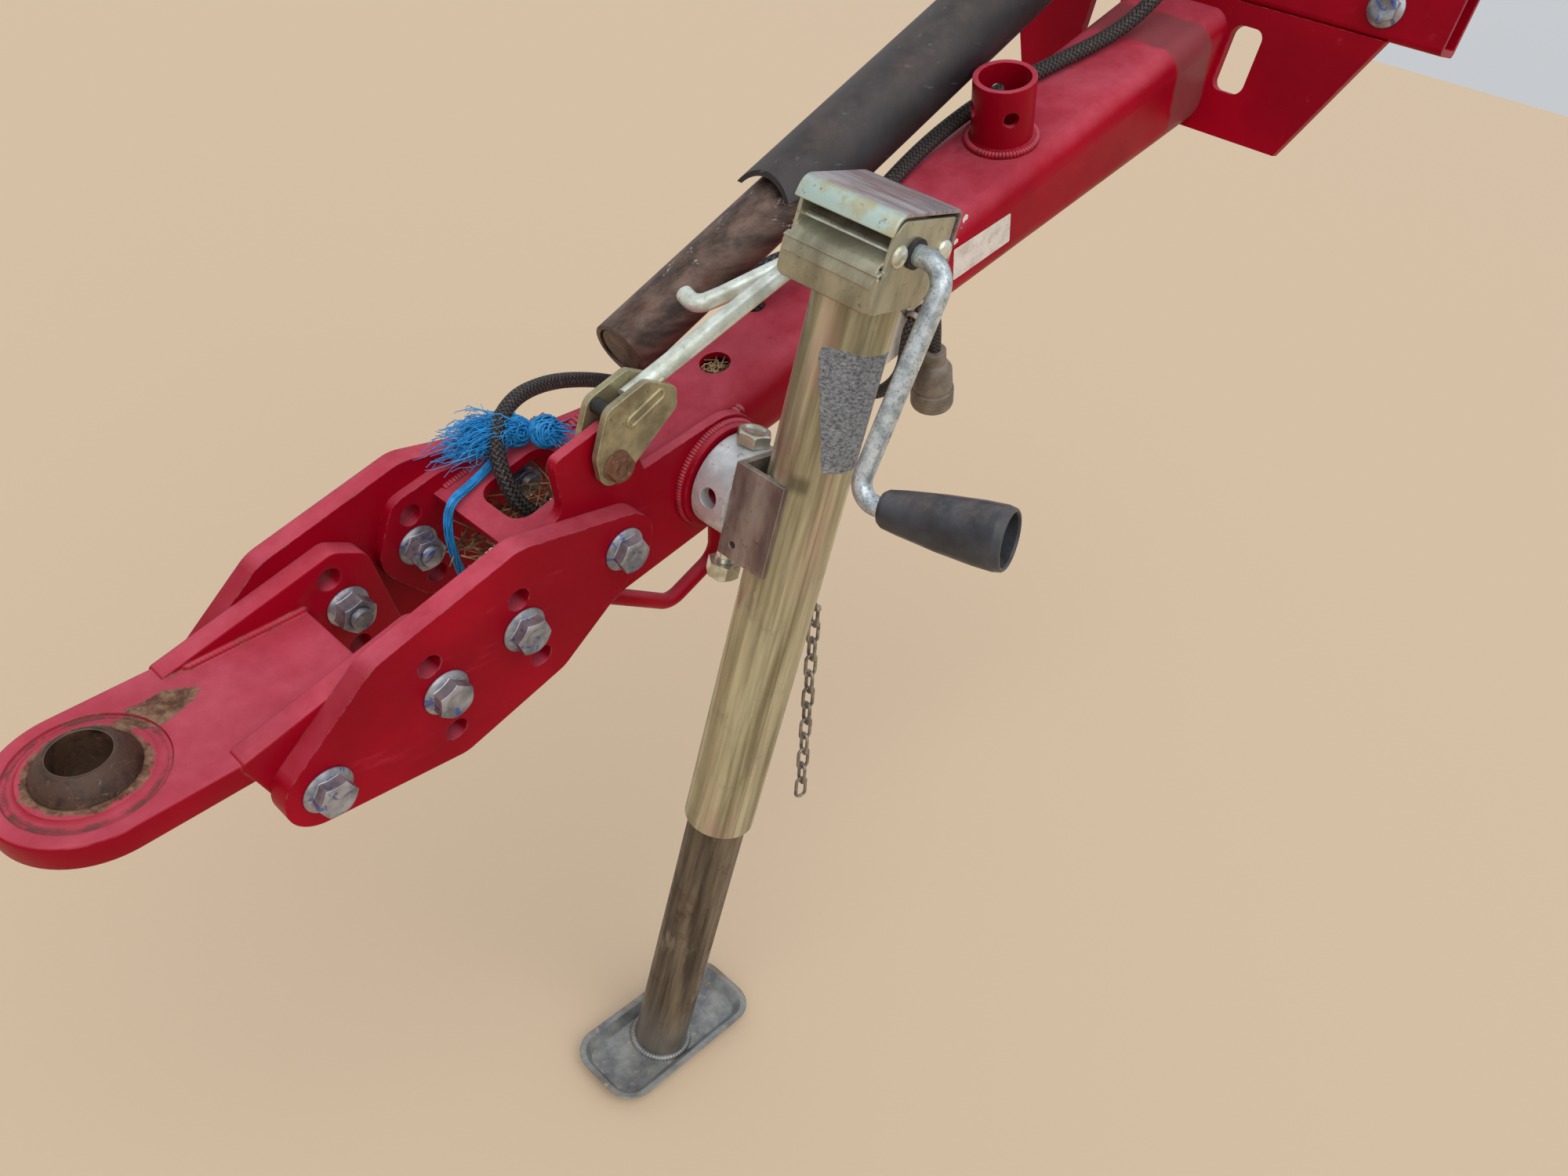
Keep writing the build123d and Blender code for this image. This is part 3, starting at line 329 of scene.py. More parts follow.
def hex_head(across, height, flange=0):
    """A chamfered hexagon with a dished top, on a coned flange where one is asked for."""
    corner = across / 2 / math.cos(math.pi / 6)
    half = across / 2
    fresh()
    bpy.ops.mesh.primitive_cylinder_add(
        vertices=6, radius=corner * MM, depth=(height + 1) * MM, location=(0, 0, (height + 1) / 2 * MM))
    hexagon = settle(bpy.context.object, "hexagon", smooth=0)
    rows = [(corner + 1, 0.2), (corner + 1, height - 2.2), (half * 1.01, height - 0.5), (half * 0.9, height),
            (half * 0.74, height), (half * 0.62, height - 0.9), (half * 0.2, height - 1.1)]
    cut(hexagon, turned("chamfer", rows, 48), "INTERSECT")
    if not flange:
        return hexagon
    rows = [(flange - 0.6, 0), (flange, 0.5), (flange, 1.3), (flange - 0.7, 2.1), (half * 1.12, 3.9), (half, 4.4)]
    return join("head", [hexagon, turned("flange", rows, 40)])


def curve_of(name, lines, kind="POLY"):
    """A curve object with a spline through each line of points."""
    curve = bpy.data.curves.new(name, "CURVE")
    curve.dimensions = "3D"
    for line in lines:
        spline = curve.splines.new(kind)
        spline.points.add(len(line) - 1)
        for knot, point in zip(spline.points, line):
            knot.co = (*point, 1)
    holder = bpy.data.objects.new(name, curve)
    bpy.context.collection.objects.link(holder)
    return holder


def ring_of(centre, axis, radius, count=40):
    """Points once round a circle, with its radius in millimetres."""
    place = placed(centre, axis)
    angles = [math.radians(360 * step / count) for step in range(count + 1)]
    return [place @ (Vector((math.cos(a), math.sin(a), 0)) * radius * MM) for a in angles]


def bead(points, width=None, flat=0.6):
    """A weld: overlapping squashed drops along a line of points."""
    width = width or sizes().weld_width
    path = curve_of("weld_line", [points])
    fresh()
    bpy.ops.mesh.primitive_uv_sphere_add(segments=8, ring_count=6, radius=width / 2)
    drop = bpy.context.object
    drop.scale = (flat, 1, 0.8)
    settle(drop, "bead", smooth=180)
    row = drop.modifiers.new("row", "ARRAY")
    row.fit_type = "FIT_CURVE"
    row.curve = path
    row.use_relative_offset = False
    row.use_constant_offset = True
    row.constant_offset_displace = (width * 0.36, 0, 0)
    follow = drop.modifiers.new("follow", "CURVE")
    follow.object = path
    follow.deform_axis = "POS_X"
    apply_modifiers(drop)
    bpy.data.objects.remove(path)
    return drop


def route(name, points):
    """Points along the smooth line of a cord, read from a NURBS spline."""
    holder = curve_of(name + "_route", [points], "NURBS")
    holder.data.resolution_u = 10
    holder.data.splines[0].order_u = 3
    holder.data.splines[0].use_endpoint_u = True
    drawn = bpy.data.meshes.new_from_object(holder)
    path = [Vector(vertex.co) for vertex in drawn.vertices]
    bpy.data.meshes.remove(drawn)
    bpy.data.objects.remove(holder)
    return path


def frames_along(path):
    """Point, side, rise and distance at each point of a path, with no twist."""
    directions = [(b - a).normalized() for a, b in zip(path, path[1:])]
    directions.append(directions[-1])
    side = directions[0].orthogonal().normalized()
    distance = 0
    rows = []
    for index, (point, direction) in enumerate(zip(path, directions)):
        if index:
            distance += (point - path[index - 1]).length
            direction = (directions[index - 1] + direction).normalized()
        side = (side - direction * side.dot(direction)).normalized()
        rows.append((point, side, direction.cross(side), distance))
    return rows


def tube(name, path, radius, sides=16):
    """A closed tube along a path, with a UV map in turns round it and circumferences along it."""
    rows = frames_along(path)
    points, faces, corners = [], [], []
    for point, side, rise, distance in rows:
        for step in range(sides):
            angle = 2 * math.pi * step / sides
            points.append(point + (side * math.cos(angle) + rise * math.sin(angle)) * radius)
    round_length = 2 * math.pi * radius
    for index in range(len(rows) - 1):
        near, far = rows[index][3] / round_length, rows[index + 1][3] / round_length
        for step in range(sides):
            after = (step + 1) % sides
            faces.append((index * sides + step, index * sides + after,
                          (index + 1) * sides + after, (index + 1) * sides + step))
            corners += [(step / sides, near), ((step + 1) / sides, near),
                        ((step + 1) / sides, far), (step / sides, far)]
    last = (len(rows) - 1) * sides
    faces += [tuple(range(sides - 1, -1, -1)), tuple(range(last, last + sides))]
    corners += [(0.5, 0)] * sides * 2
    mesh = bpy.data.meshes.new(name)
    mesh.from_pydata(points, [], faces)
    layer = mesh.uv_layers.new(name="UVMap")
    for loop, corner in zip(layer.data, corners):
        loop.uv = corner
    piece = bpy.data.objects.new(name, mesh)
    bpy.context.collection.objects.link(piece)
    return settle(piece, name, smooth=50)


def strands(name, lines, width, taper):
    """Thin round strands along lines of points, as one mesh."""
    holder = curve_of(name, lines)
    holder.data.bevel_depth = width / 2
    holder.data.bevel_resolution = 0
    holder.data.use_fill_caps = True
    for spline in holder.data.splines:
        for index, knot in enumerate(spline.points):
            knot.radius = 1 - (1 - taper) * index / len(spline.points)
    chosen(holder)
    bpy.ops.object.convert(target="MESH")
    return settle(bpy.context.object, name, smooth=180)


def wander(point, scale, amount, seed):
    """A small smooth shift that depends on the place."""
    return noise.noise_vector(Vector(point) * scale + Vector((seed * 7.3, seed * 3.1, seed * 1.7))) * amount


# Finishes


class Finish:
    """The nodes of one material, built by short calls that give back sockets."""

    def __init__(self, name, metallic=0.0, roughness=0.5, specular=0.5):
        self.material = bpy.data.materials.new(name)
        self.material.use_nodes = True
        self.tree = self.material.node_tree
        self.shader = self.tree.nodes["Principled BSDF"]
        self.shader.inputs["Metallic"].default_value = metallic
        self.shader.inputs["Roughness"].default_value = roughness
        self.shader.inputs["Specular IOR Level"].default_value = specular
        self.place = self.node("TexCoord", result="Object")
        self.soft = None

    def node(self, kind, inputs=None, result=0, **settings):
        made = self.tree.nodes.new("ShaderNode" + kind)
        for key, value in settings.items():
            setattr(made, key, value)
        for key, value in (inputs or {}).items():
            self.feed(made.inputs[key], value)
        return made.outputs[result]

    def feed(self, socket, value):
        if isinstance(value, bpy.types.NodeSocket):
            self.tree.links.new(value, socket)
        elif socket.type == "RGBA":
            socket.default_value = (*value[:3], 1)
        else:
            socket.default_value = value

    def calc(self, operation, first, second=0.5, clamp=False):
        return self.node("Math", {0: first, 1: second}, operation=operation, use_clamp=clamp)

    def times(self, first, second):
        return self.calc("MULTIPLY", first, second)

    def plus(self, first, second):
        return self.calc("ADD", first, second, clamp=True)

    def along(self, direction, origin=(0, 0, 0)):
        """Metres along a direction from an origin."""
        away = self.node("VectorMath", {0: self.place, 1: tuple(origin)}, operation="SUBTRACT")
        return self.node("VectorMath", {0: away, 1: tuple(direction)}, result="Value", operation="DOT_PRODUCT")

    def scaled(self, scale, turn=(0, 0, 0)):
        """The place, turned and stretched."""
        return self.node("Mapping", {"Vector": self.place, "Scale": scale, "Rotation": turn})

    def cloud(self, scale, detail=3, roughness=0.55, of=None, distortion=0.0):
        return self.node("TexNoise", {"Vector": of or self.place, "Scale": scale, "Detail": detail,
                                      "Roughness": roughness, "Distortion": distortion})

    def between(self, amount, low, high, at_low=0.0, at_high=1.0):
        return self.node(
            "MapRange",
            {"Value": amount, "From Min": low, "From Max": high, "To Min": at_low, "To Max": at_high},
            interpolation_type="SMOOTHSTEP")

    def inside(self, amount, low, high, soft):
        """One between two limits, falling to none over a soft edge."""
        return self.times(self.between(amount, low - soft, low + soft),
                          self.between(amount, high - soft, high + soft, 1.0, 0.0))

    def mix(self, amount, first, second):
        return self.node("Mix", {0: amount, 6: first, 7: second}, result=2, data_type="RGBA")

    def stain(self, base, pattern, low, high, share, colour):
        """A share of the colour over the base, where the pattern rises from low to high."""
        return self.mix(self.times(self.between(pattern, low, high), share), base, colour)

    def shade(self, amount, first, second):
        return self.node("Mix", {0: amount, 2: first, 3: second}, data_type="FLOAT")

    def upward(self):
        normal = self.node("TexCoord", result="Normal")
        return self.node("SeparateXYZ", {0: normal}, result=2)

    def rounded(self, radius=0.0012):
        """Edges softened by a radius."""
        self.soft = self.node("Bevel", {"Radius": radius}, samples=6)
        return self.soft

    def worn_edges(self, radius=0.002, low=0.02, high=0.25):
        """One at sharp edges, from how far a rounded normal leaves the true one."""
        rounded = self.node("Bevel", {"Radius": radius}, samples=6)
        true = self.node("NewGeometry", result="Normal")
        agree = self.node("VectorMath", {0: rounded, 1: true}, result="Value", operation="DOT_PRODUCT")
        return self.between(self.calc("SUBTRACT", 1.0, agree), low, high)

    def done(self, colour=None, roughness=None, metallic=None, height=None, depth=0.0004, strength=0.6):
        """Links what is given to the shader."""
        if colour is not None:
            self.feed(self.shader.inputs["Base Color"], colour)
        if roughness is not None:
            self.feed(self.shader.inputs["Roughness"], roughness)
        if metallic is not None:
            self.feed(self.shader.inputs["Metallic"], metallic)
        if height is not None:
            bump = {"Height": height, "Distance": depth, "Strength": strength}
            if self.soft is not None:
                bump["Normal"] = self.soft
            self.feed(self.shader.inputs["Normal"], self.node("Bump", bump))
        elif self.soft is not None:
            self.feed(self.shader.inputs["Normal"], self.soft)
        return self.material


RUST = tint(104, 66, 46)
STEEL = tint(120, 104, 96)


def paint_finish(name, dust=0.5, chips=0.5, bands=()):
    """Satin crimson paint: dusty and given a painted sky reflection where it faces up, chipped and paler along its
    edges.
    """
    coat = Finish(name, roughness=0.4, specular=0.07)
    crimson = tuple(colours().paint)
    dark = tuple(c * 0.7 for c in crimson)
    base = coat.mix(coat.between(coat.cloud(7, 4), 0.35, 0.7), dark, crimson)
    # dust and a painted sky reflection on what faces up, lighter and pinker there
    top = coat.between(coat.upward(), 0.35, 0.97)
    film = coat.between(coat.cloud(16, 6, 0.68), 0.3, 0.75)
    dust_and_sky_sheen = coat.times(top, coat.shade(film, 0.34 * dust, 0.8 * dust))
    base = coat.mix(dust_and_sky_sheen, base, tuple(colours().dust))
    # streaks, scuffs and dirt
    streak = coat.cloud(60, 5, 0.7, of=coat.scaled((0.25, 1, 1), (0, math.radians(26.5), 0)))
    base = coat.stain(base, streak, 0.6, 0.82, 0.3, tint(214, 70, 92))
    grime = coat.times(coat.between(coat.cloud(30, 6, 0.75), 0.6, 0.74), coat.shade(top, 0.1, 0.4))
    base = coat.mix(grime, base, tint(92, 40, 42))
    for low, high, soft, colour, share in bands:
        ragged = coat.calc("ADD", coat.along(DOWN, HOLE), coat.times(coat.cloud(45, 4), 0.012))
        mask = coat.inside(ragged, low * MM + 0.006, high * MM + 0.006, soft * MM)
        base = coat.mix(coat.times(mask, coat.shade(film, share * 0.75, share)), base, colour)
    # chips: pale rubbed rim, then bare brown steel
    rim = coat.worn_edges(0.0022, 0.03, 0.3)
    rubbed = coat.times(rim, coat.between(coat.cloud(140, 5, 0.7), 0.42, 0.62))
    bare = coat.times(rim, coat.between(coat.cloud(70, 6, 0.75), 0.64 - 0.14 * chips, 0.70 - 0.14 * chips))
    base = coat.mix(coat.times(rubbed, 0.5), base, tint(226, 92, 114))
    base = coat.mix(bare, base, STEEL)
    nick = coat.between(coat.cloud(95, 7, 0.8), 0.755 - 0.03 * chips, 0.775 - 0.03 * chips)
    base = coat.mix(nick, base, RUST)
    rough = coat.plus(coat.shade(film, 0.3, 0.44), coat.times(dust_and_sky_sheen, 0.6))
    coat.rounded(0.0014)
    height = coat.calc("SUBTRACT", coat.times(coat.cloud(420, 2), 0.25), coat.times(bare, 0.8))
    return coat.done(base, rough, height=height, depth=0.0004, strength=0.5)


def eye_finish():
    """Crimson paint on a forging, rubbed to brown steel round the ball and in a patch behind it."""
    coat = Finish("worn_eye_paint", roughness=0.4, specular=0.1)
    crimson = tuple(colours().paint)
    base = coat.mix(coat.between(coat.cloud(9, 4), 0.35, 0.7), tuple(c * 0.75 for c in crimson), crimson)
    top = coat.between(coat.upward(), 0.5, 0.97)
    film = coat.between(coat.cloud(22, 6, 0.65), 0.3, 0.75)
    # dust and a painted sky reflection on what faces up
    base = coat.mix(coat.times(top, coat.shade(film, 0.22, 0.42)), base, tuple(colours().dust))
    ahead, left = coat.along(EYE_OUT, BALL), coat.along(LEFT, BALL)
    flat = coat.node("CombineXYZ", {0: ahead, 1: left})
    ragged = coat.times(coat.calc("SUBTRACT", coat.cloud(42, 6, 0.72), 0.5), 0.022)
    away = coat.calc("ADD", coat.node("VectorMath", {0: flat}, result="Value", operation="LENGTH"), ragged)
    ring = coat.between(away, 0.0335, 0.0350, 1.0, 0.0)
    groove = coat.inside(coat.calc("SUBTRACT", away, coat.times(ragged, 0.8)), 0.0400, 0.0447, 0.0008)
    base = coat.mix(coat.times(groove, coat.between(coat.cloud(55, 6, 0.75), 0.42, 0.6)), base, tint(120, 66, 66))
    # a bare patch behind the ball, towards the right flange
    spot = coat.node("VectorMath", {0: flat, 1: (-0.050, -0.019, 0)}, operation="SUBTRACT")
    spot = coat.node("Mapping", {"Vector": spot, "Rotation": (0, 0, math.radians(-16)), "Scale": (0.62, 1.25, 1)})
    spot = coat.calc("ADD", coat.node("VectorMath", {0: spot}, result="Value", operation="LENGTH"), ragged)
    patch = coat.times(coat.between(spot, 0.0145, 0.0158, 1.0, 0.0), coat.between(coat.upward(), 0.8, 0.9))
    rim = coat.worn_edges(0.0028, 0.03, 0.3)
    bare = coat.times(rim, coat.between(coat.cloud(48, 6, 0.75), 0.47, 0.56))
    nick = coat.between(coat.cloud(110, 7, 0.8), 0.72, 0.735)
    steel = coat.mix(coat.between(coat.cloud(110, 6, 0.7), 0.35, 0.65), tint(92, 60, 48), tint(146, 114, 92))
    base = coat.mix(coat.times(rim, 0.35), base, tint(216, 96, 112))
    for mask in (bare, nick, patch, ring):
        base = coat.mix(mask, base, steel)
    rough = coat.plus(coat.shade(film, 0.34, 0.5), coat.times(coat.plus(ring, patch), 0.25))
    coat.rounded(0.002)
    height = coat.calc("SUBTRACT", coat.times(coat.cloud(260, 4), 0.5), coat.plus(patch, bare))
    return coat.done(base, rough, height=height, depth=0.0006, strength=0.6)


def plated_finish(name, low, high, tarnish, rough, scale, metallic, grain=(1, 1, 1), spots=0.0,
                  edge=None, blue=None):
    """Zinc plate: two shades drifting along the grain, tarnished specks and brighter edges."""
    zinc = Finish(name, metallic=metallic, roughness=rough[0])
    drift = zinc.cloud(scale, 5, 0.62, of=zinc.scaled(grain))
    base = zinc.mix(zinc.between(drift, 0.32, 0.68), low, high)
    speck = zinc.between(zinc.cloud(scale * 5, 6, 0.75), 0.62 - 0.12 * spots, 0.72 - 0.12 * spots)
    base = zinc.mix(zinc.times(speck, 0.75), base, tarnish)
    if edge is not None:
        base = zinc.mix(zinc.times(zinc.worn_edges(0.0014, 0.04, 0.3), 0.6), base, edge)
    if blue is not None:
        smear = zinc.between(zinc.cloud(75, 2, 0.5, distortion=1.5), 0.60, 0.64)
        base = zinc.mix(zinc.times(smear, 0.7), base, blue)
    rough_now = zinc.shade(zinc.between(drift, 0.3, 0.7), rough[1], rough[0])
    zinc.rounded(0.0009)
    height = zinc.plus(zinc.times(zinc.cloud(scale * 9, 4, 0.7), 0.5), zinc.times(speck, 0.4))
    return zinc.done(base, zinc.plus(rough_now, zinc.times(speck, 0.2)), height=height,
                     depth=0.00025, strength=0.35)


def plated(shades, rough, scale, **extra):
    """What one zinc plate asks of plated_finish: its two shades and its tarnish, and what differs."""
    low, high, tarnish = (tint(*shade) for shade in shades)
    return dict(low=low, high=high, tarnish=tarnish, rough=rough, scale=scale, **extra)


PLATES = {
    "bolt_zinc": plated([(112, 114, 122), (172, 174, 182), (88, 84, 84)], (0.28, 0.46), 60,
                        metallic=0.6, edge=tint(226, 226, 228), blue=tint(44, 80, 160)),
    "olive_zinc_plate": plated([(132, 122, 96), (188, 178, 142), (90, 76, 58)], (0.32, 0.5), 40,
                               spots=0.2, metallic=0.55, edge=tint(232, 226, 200)),
    "rod_zinc": plated([(188, 194, 180), (236, 246, 240), (140, 128, 102)], (0.24, 0.4), 55,
                       spots=0.3, metallic=0.4),
    "sleeve_zinc": plated([(190, 194, 198), (236, 240, 244), (138, 128, 122)], (0.3, 0.48), 34,
                          spots=0.4, metallic=0.5, edge=tint(232, 232, 230)),
    "channel_zinc": plated([(116, 98, 94), (190, 180, 168), (84, 70, 66)], (0.3, 0.5), 34,
                           grain=(1, 1, 0.3), spots=0.4, metallic=0.55, edge=tint(220, 214, 206)),
    "head_zinc": plated([(136, 132, 112), (180, 178, 156), (116, 92, 84)], (0.26, 0.44), 36,
                        grain=(1, 1, 0.35), spots=0.3, metallic=0.6, edge=tint(232, 234, 228)),
    "crank_zinc": plated([(150, 162, 170), (214, 224, 230), (108, 110, 110)], (0.24, 0.42), 110,
                         spots=0.75, metallic=0.65),
    "bright_zinc": plated([(184, 182, 160), (236, 238, 226), (144, 134, 100)], (0.16, 0.32), 70,
                          metallic=0.7),
    "chain_zinc": plated([(112, 104, 96), (170, 162, 150), (88, 62, 46)], (0.3, 0.5), 90,
                         spots=0.7, metallic=0.6),
}


def rusty_finish(name, shades, scale, rough=0.75, shine=None):
    """Rusty steel in three shades."""
    rust = Finish(name, metallic=0.25, roughness=rough)
    dark, mid, light = (tint(*shade) for shade in shades)
    coarse = rust.cloud(scale, 7, 0.7, of=rust.scaled((1, 1, 1)))
    base = rust.mix(rust.between(coarse, 0.3, 0.55), dark, mid)
    base = rust.mix(rust.between(rust.cloud(scale * 2.3, 6, 0.75), 0.55, 0.7), base, light)
    roughness = rust.shade(rust.between(coarse, 0.3, 0.7), rough - 0.2, rough)
    if shine is not None:
        rubbed = rust.times(rust.worn_edges(0.0018, 0.03, 0.3), 0.7)
        base = rust.mix(rubbed, base, shine)
    rust.rounded(0.001)
    return rust.done(base, roughness, height=rust.cloud(scale * 5, 5, 0.7), depth=0.0004, strength=0.6)


def cover_finish():
    """Brushed zinc sheet with red and grey staining, and a painted reflection that makes its front fold brightest."""
    zinc = Finish("cover_zinc", metallic=0.55, roughness=0.35)
    brushed = zinc.cloud(150, 5, 0.65, of=zinc.scaled((1, 0.12, 1)))
    base = zinc.mix(zinc.between(brushed, 0.3, 0.7), tint(120, 108, 112), tint(186, 176, 178))
    stain = zinc.cloud(30, 6, 0.7, of=zinc.scaled((1, 0.4, 1)))
    base = zinc.stain(base, stain, 0.48, 0.64, 0.55, tint(138, 92, 88))
    fold = zinc.between(zinc.along((1, 0, 0), (0.736, 0, 0)), 0, 0.008)
    # a painted reflection on the front fold, pale with yellow, green-blue and pink tints
    fold_reflection = zinc.mix(zinc.between(zinc.cloud(55, 4, 0.6), 0.42, 0.6), tint(198, 196, 160), tint(196, 224, 216))
    fold_reflection = zinc.mix(zinc.times(zinc.between(zinc.cloud(70, 3, 0.5), 0.58, 0.7), 0.6), fold_reflection, tint(216, 186, 204))
    base = zinc.mix(zinc.times(fold, 0.85), base, fold_reflection)
    dent = zinc.times(fold, zinc.between(zinc.cloud(90, 6, 0.75), 0.6, 0.66))
    base = zinc.mix(zinc.times(dent, 0.8), base, tint(104, 98, 92))
    zinc.rounded(0.001)
    return zinc.done(base, zinc.shade(zinc.between(stain, 0.4, 0.6), 0.3, 0.46),
                     height=zinc.cloud(320, 5, 0.7), depth=0.0003, strength=0.4)


def jack_tube_finish():
    """Olive-gold zinc with long pink and bright streaks, a seam, a dark smear and a grey glue patch."""
    zinc = Finish("gold_zinc_tube", metallic=0.6, roughness=0.33)
    streaks = zinc.cloud(85, 5, 0.6, of=zinc.scaled((1, 1, 0.05)))
    base = zinc.mix(zinc.between(streaks, 0.3, 0.7), tint(128, 120, 94), tint(206, 202, 172))
    pink = zinc.cloud(40, 3, 0.5, of=zinc.scaled((1, 1, 0.12), (0, 0, 1.1)))
    base = zinc.stain(base, pink, 0.55, 0.7, 0.4, tint(186, 142, 138))
    blotch = zinc.cloud(26, 5, 0.65)
    base = zinc.stain(base, blotch, 0.55, 0.75, 0.4, tint(112, 98, 82))
    scratch = zinc.between(zinc.cloud(210, 4, 0.6, of=zinc.scaled((1, 1, 0.3), (0.3, 0.2, 0))), 0.68, 0.74)
    base = zinc.mix(zinc.times(scratch, 0.4), base, tint(230, 224, 204))
    x, y, z = (zinc.along(axis, JACK) for axis in ((1, 0, 0), (0, 1, 0), (0, 0, 1)))
    angle = zinc.calc("ARCTAN2", y, x)
    seam = zinc.inside(angle, math.radians(64), math.radians(66), 0.012)
    base = zinc.mix(zinc.times(seam, 0.4), base, tint(96, 82, 68))
    smear = zinc.times(zinc.inside(angle, math.radians(8), math.radians(36), 0.1),
                       zinc.inside(z, -0.370, -0.358, 0.004))
    base = zinc.mix(zinc.times(smear, 0.6), base, tint(70, 60, 54))
    # the patch leans away from its left edge as it goes down, with a rounded upper corner
    ragged = zinc.times(zinc.calc("SUBTRACT", zinc.cloud(130, 4), 0.5), 0.005)
    across = zinc.calc("ADD", zinc.times(angle, 0.0302), zinc.times(zinc.calc("ADD", z, 0.268), 0.27))
    over = zinc.calc("MAXIMUM", zinc.calc("SUBTRACT", 0.010, across), 0.0)
    above = zinc.calc("MAXIMUM", zinc.calc("SUBTRACT", z, -0.270), 0.0)
    corner = zinc.node("VectorMath", {0: zinc.node("CombineXYZ", {0: over, 1: above})}, result="Value",
                       operation="LENGTH")
    upper = zinc.between(zinc.calc("ADD", corner, ragged), 0.0072, 0.0080, 1.0, 0.0)
    lower = zinc.between(zinc.calc("ADD", z, ragged), -0.3508, -0.3496)
    right = zinc.between(angle, math.radians(146), math.radians(150), 1.0, 0.0)
    patch = zinc.times(zinc.times(upper, lower), right)
    fibre = zinc.cloud(330, 7, 0.8, of=zinc.scaled((1, 1, 1.7)))
    torn = zinc.cloud(120, 6, 0.75, of=zinc.scaled((1, 1, 2.6)))
    glue = zinc.mix(zinc.between(fibre, 0.38, 0.6), tint(74, 76, 80), tint(146, 150, 156))
    glue = zinc.mix(zinc.times(zinc.between(torn, 0.54, 0.66), 0.55), glue, tint(104, 102, 98))
    glue = zinc.mix(zinc.times(zinc.between(torn, 0.46, 0.36), 0.45), glue, tint(176, 178, 180))
    base = zinc.mix(patch, base, glue)
    rough = zinc.shade(patch, zinc.shade(zinc.between(blotch, 0.3, 0.7), 0.26, 0.45), 0.9)
    zinc.rounded(0.001)
    height = zinc.plus(zinc.times(zinc.cloud(300, 4), 0.2), zinc.times(patch, zinc.shade(fibre, 0.4, 0.9)))
    return zinc.done(base, rough, zinc.shade(patch, 0.6, 0.0), height, 0.0006, 0.6)


def leg_finish():
    """Dull brown steel tube with vertical rub marks and red rust."""
    steel = Finish("leg_steel", metallic=0.55, roughness=0.5)
    rub = steel.cloud(95, 5, 0.65, of=steel.scaled((1, 1, 0.07)))
    base = steel.mix(steel.between(rub, 0.3, 0.7), tint(62, 54, 48), tint(128, 116, 100))
    blotch = steel.cloud(24, 6, 0.7)
    base = steel.stain(base, blotch, 0.52, 0.66, 0.65, tint(84, 50, 38))
    pale = steel.cloud(33, 5, 0.6, of=steel.scaled((1, 1, 0.4), (0.4, 0, 0)))
    base = steel.stain(base, pale, 0.6, 0.74, 0.5, tint(168, 156, 140))
    low = steel.between(steel.along((0, 0, 1)), -0.99, -0.93, 1.0, 0.0)
    base = steel.mix(steel.times(low, 0.45), base, tint(150, 142, 134))
    rough = steel.shade(steel.between(blotch, 0.4, 0.7), 0.36, 0.62)
    return steel.done(base, rough, height=steel.cloud(260, 5, 0.7), depth=0.0003, strength=0.4)


def foot_finish():
    """Blue-grey zinc pan with sand lying in it and brown edges."""
    pan = Finish("foot_zinc", metallic=0.6, roughness=0.45)
    drift = pan.cloud(30, 5, 0.65)
    base = pan.mix(pan.between(drift, 0.3, 0.7), tint(112, 116, 120), tint(172, 174, 170))
    smudge = pan.times(pan.between(pan.cloud(14, 4, 0.6), 0.5, 0.66), pan.between(pan.upward(), 0.7, 0.9))
    base = pan.mix(pan.times(smudge, 0.7), base, tint(150, 132, 110))
    sandy = pan.times(pan.between(pan.cloud(90, 6, 0.75), 0.58, 0.66), pan.between(pan.upward(), 0.7, 0.9))
    base = pan.mix(pan.times(sandy, 0.8), base, tint(206, 182, 150))
    rim = pan.times(pan.worn_edges(0.002, 0.03, 0.3), pan.between(pan.cloud(50, 5, 0.7), 0.45, 0.6))
    base = pan.mix(pan.times(rim, 0.7), base, tint(112, 84, 62))
    pan.rounded(0.0016)
    return pan.done(base, pan.shade(smudge, 0.4, 0.75), height=pan.cloud(200, 5, 0.7), depth=0.0004,
                    strength=0.5)


def tube_finish():
    """Brown steel driveline tube with white scuffs towards its front."""
    steel = Finish("driveline_steel", metallic=0.4, roughness=0.55)
    along = steel.scaled((0.2, 1, 1), (0, math.radians(33.6), 0))
    grain = steel.cloud(70, 6, 0.68, of=along)
    base = steel.mix(steel.between(grain, 0.3, 0.7), tint(58, 46, 42), tint(122, 98, 86))
    base = steel.stain(base, steel.cloud(28, 6, 0.7), 0.5, 0.68, 0.6, tint(92, 56, 40))
    scuff = steel.between(steel.cloud(38, 7, 0.75, of=along), 0.6, 0.66)
    fine = steel.between(steel.cloud(230, 4, 0.7), 0.4, 0.6)
    base = steel.mix(steel.times(scuff, fine), base, tint(214, 208, 204))
    steel.rounded(0.001)
    return steel.done(base, steel.shade(scuff, 0.48, 0.7), height=steel.cloud(240, 5, 0.7), depth=0.0004,
                      strength=0.5)


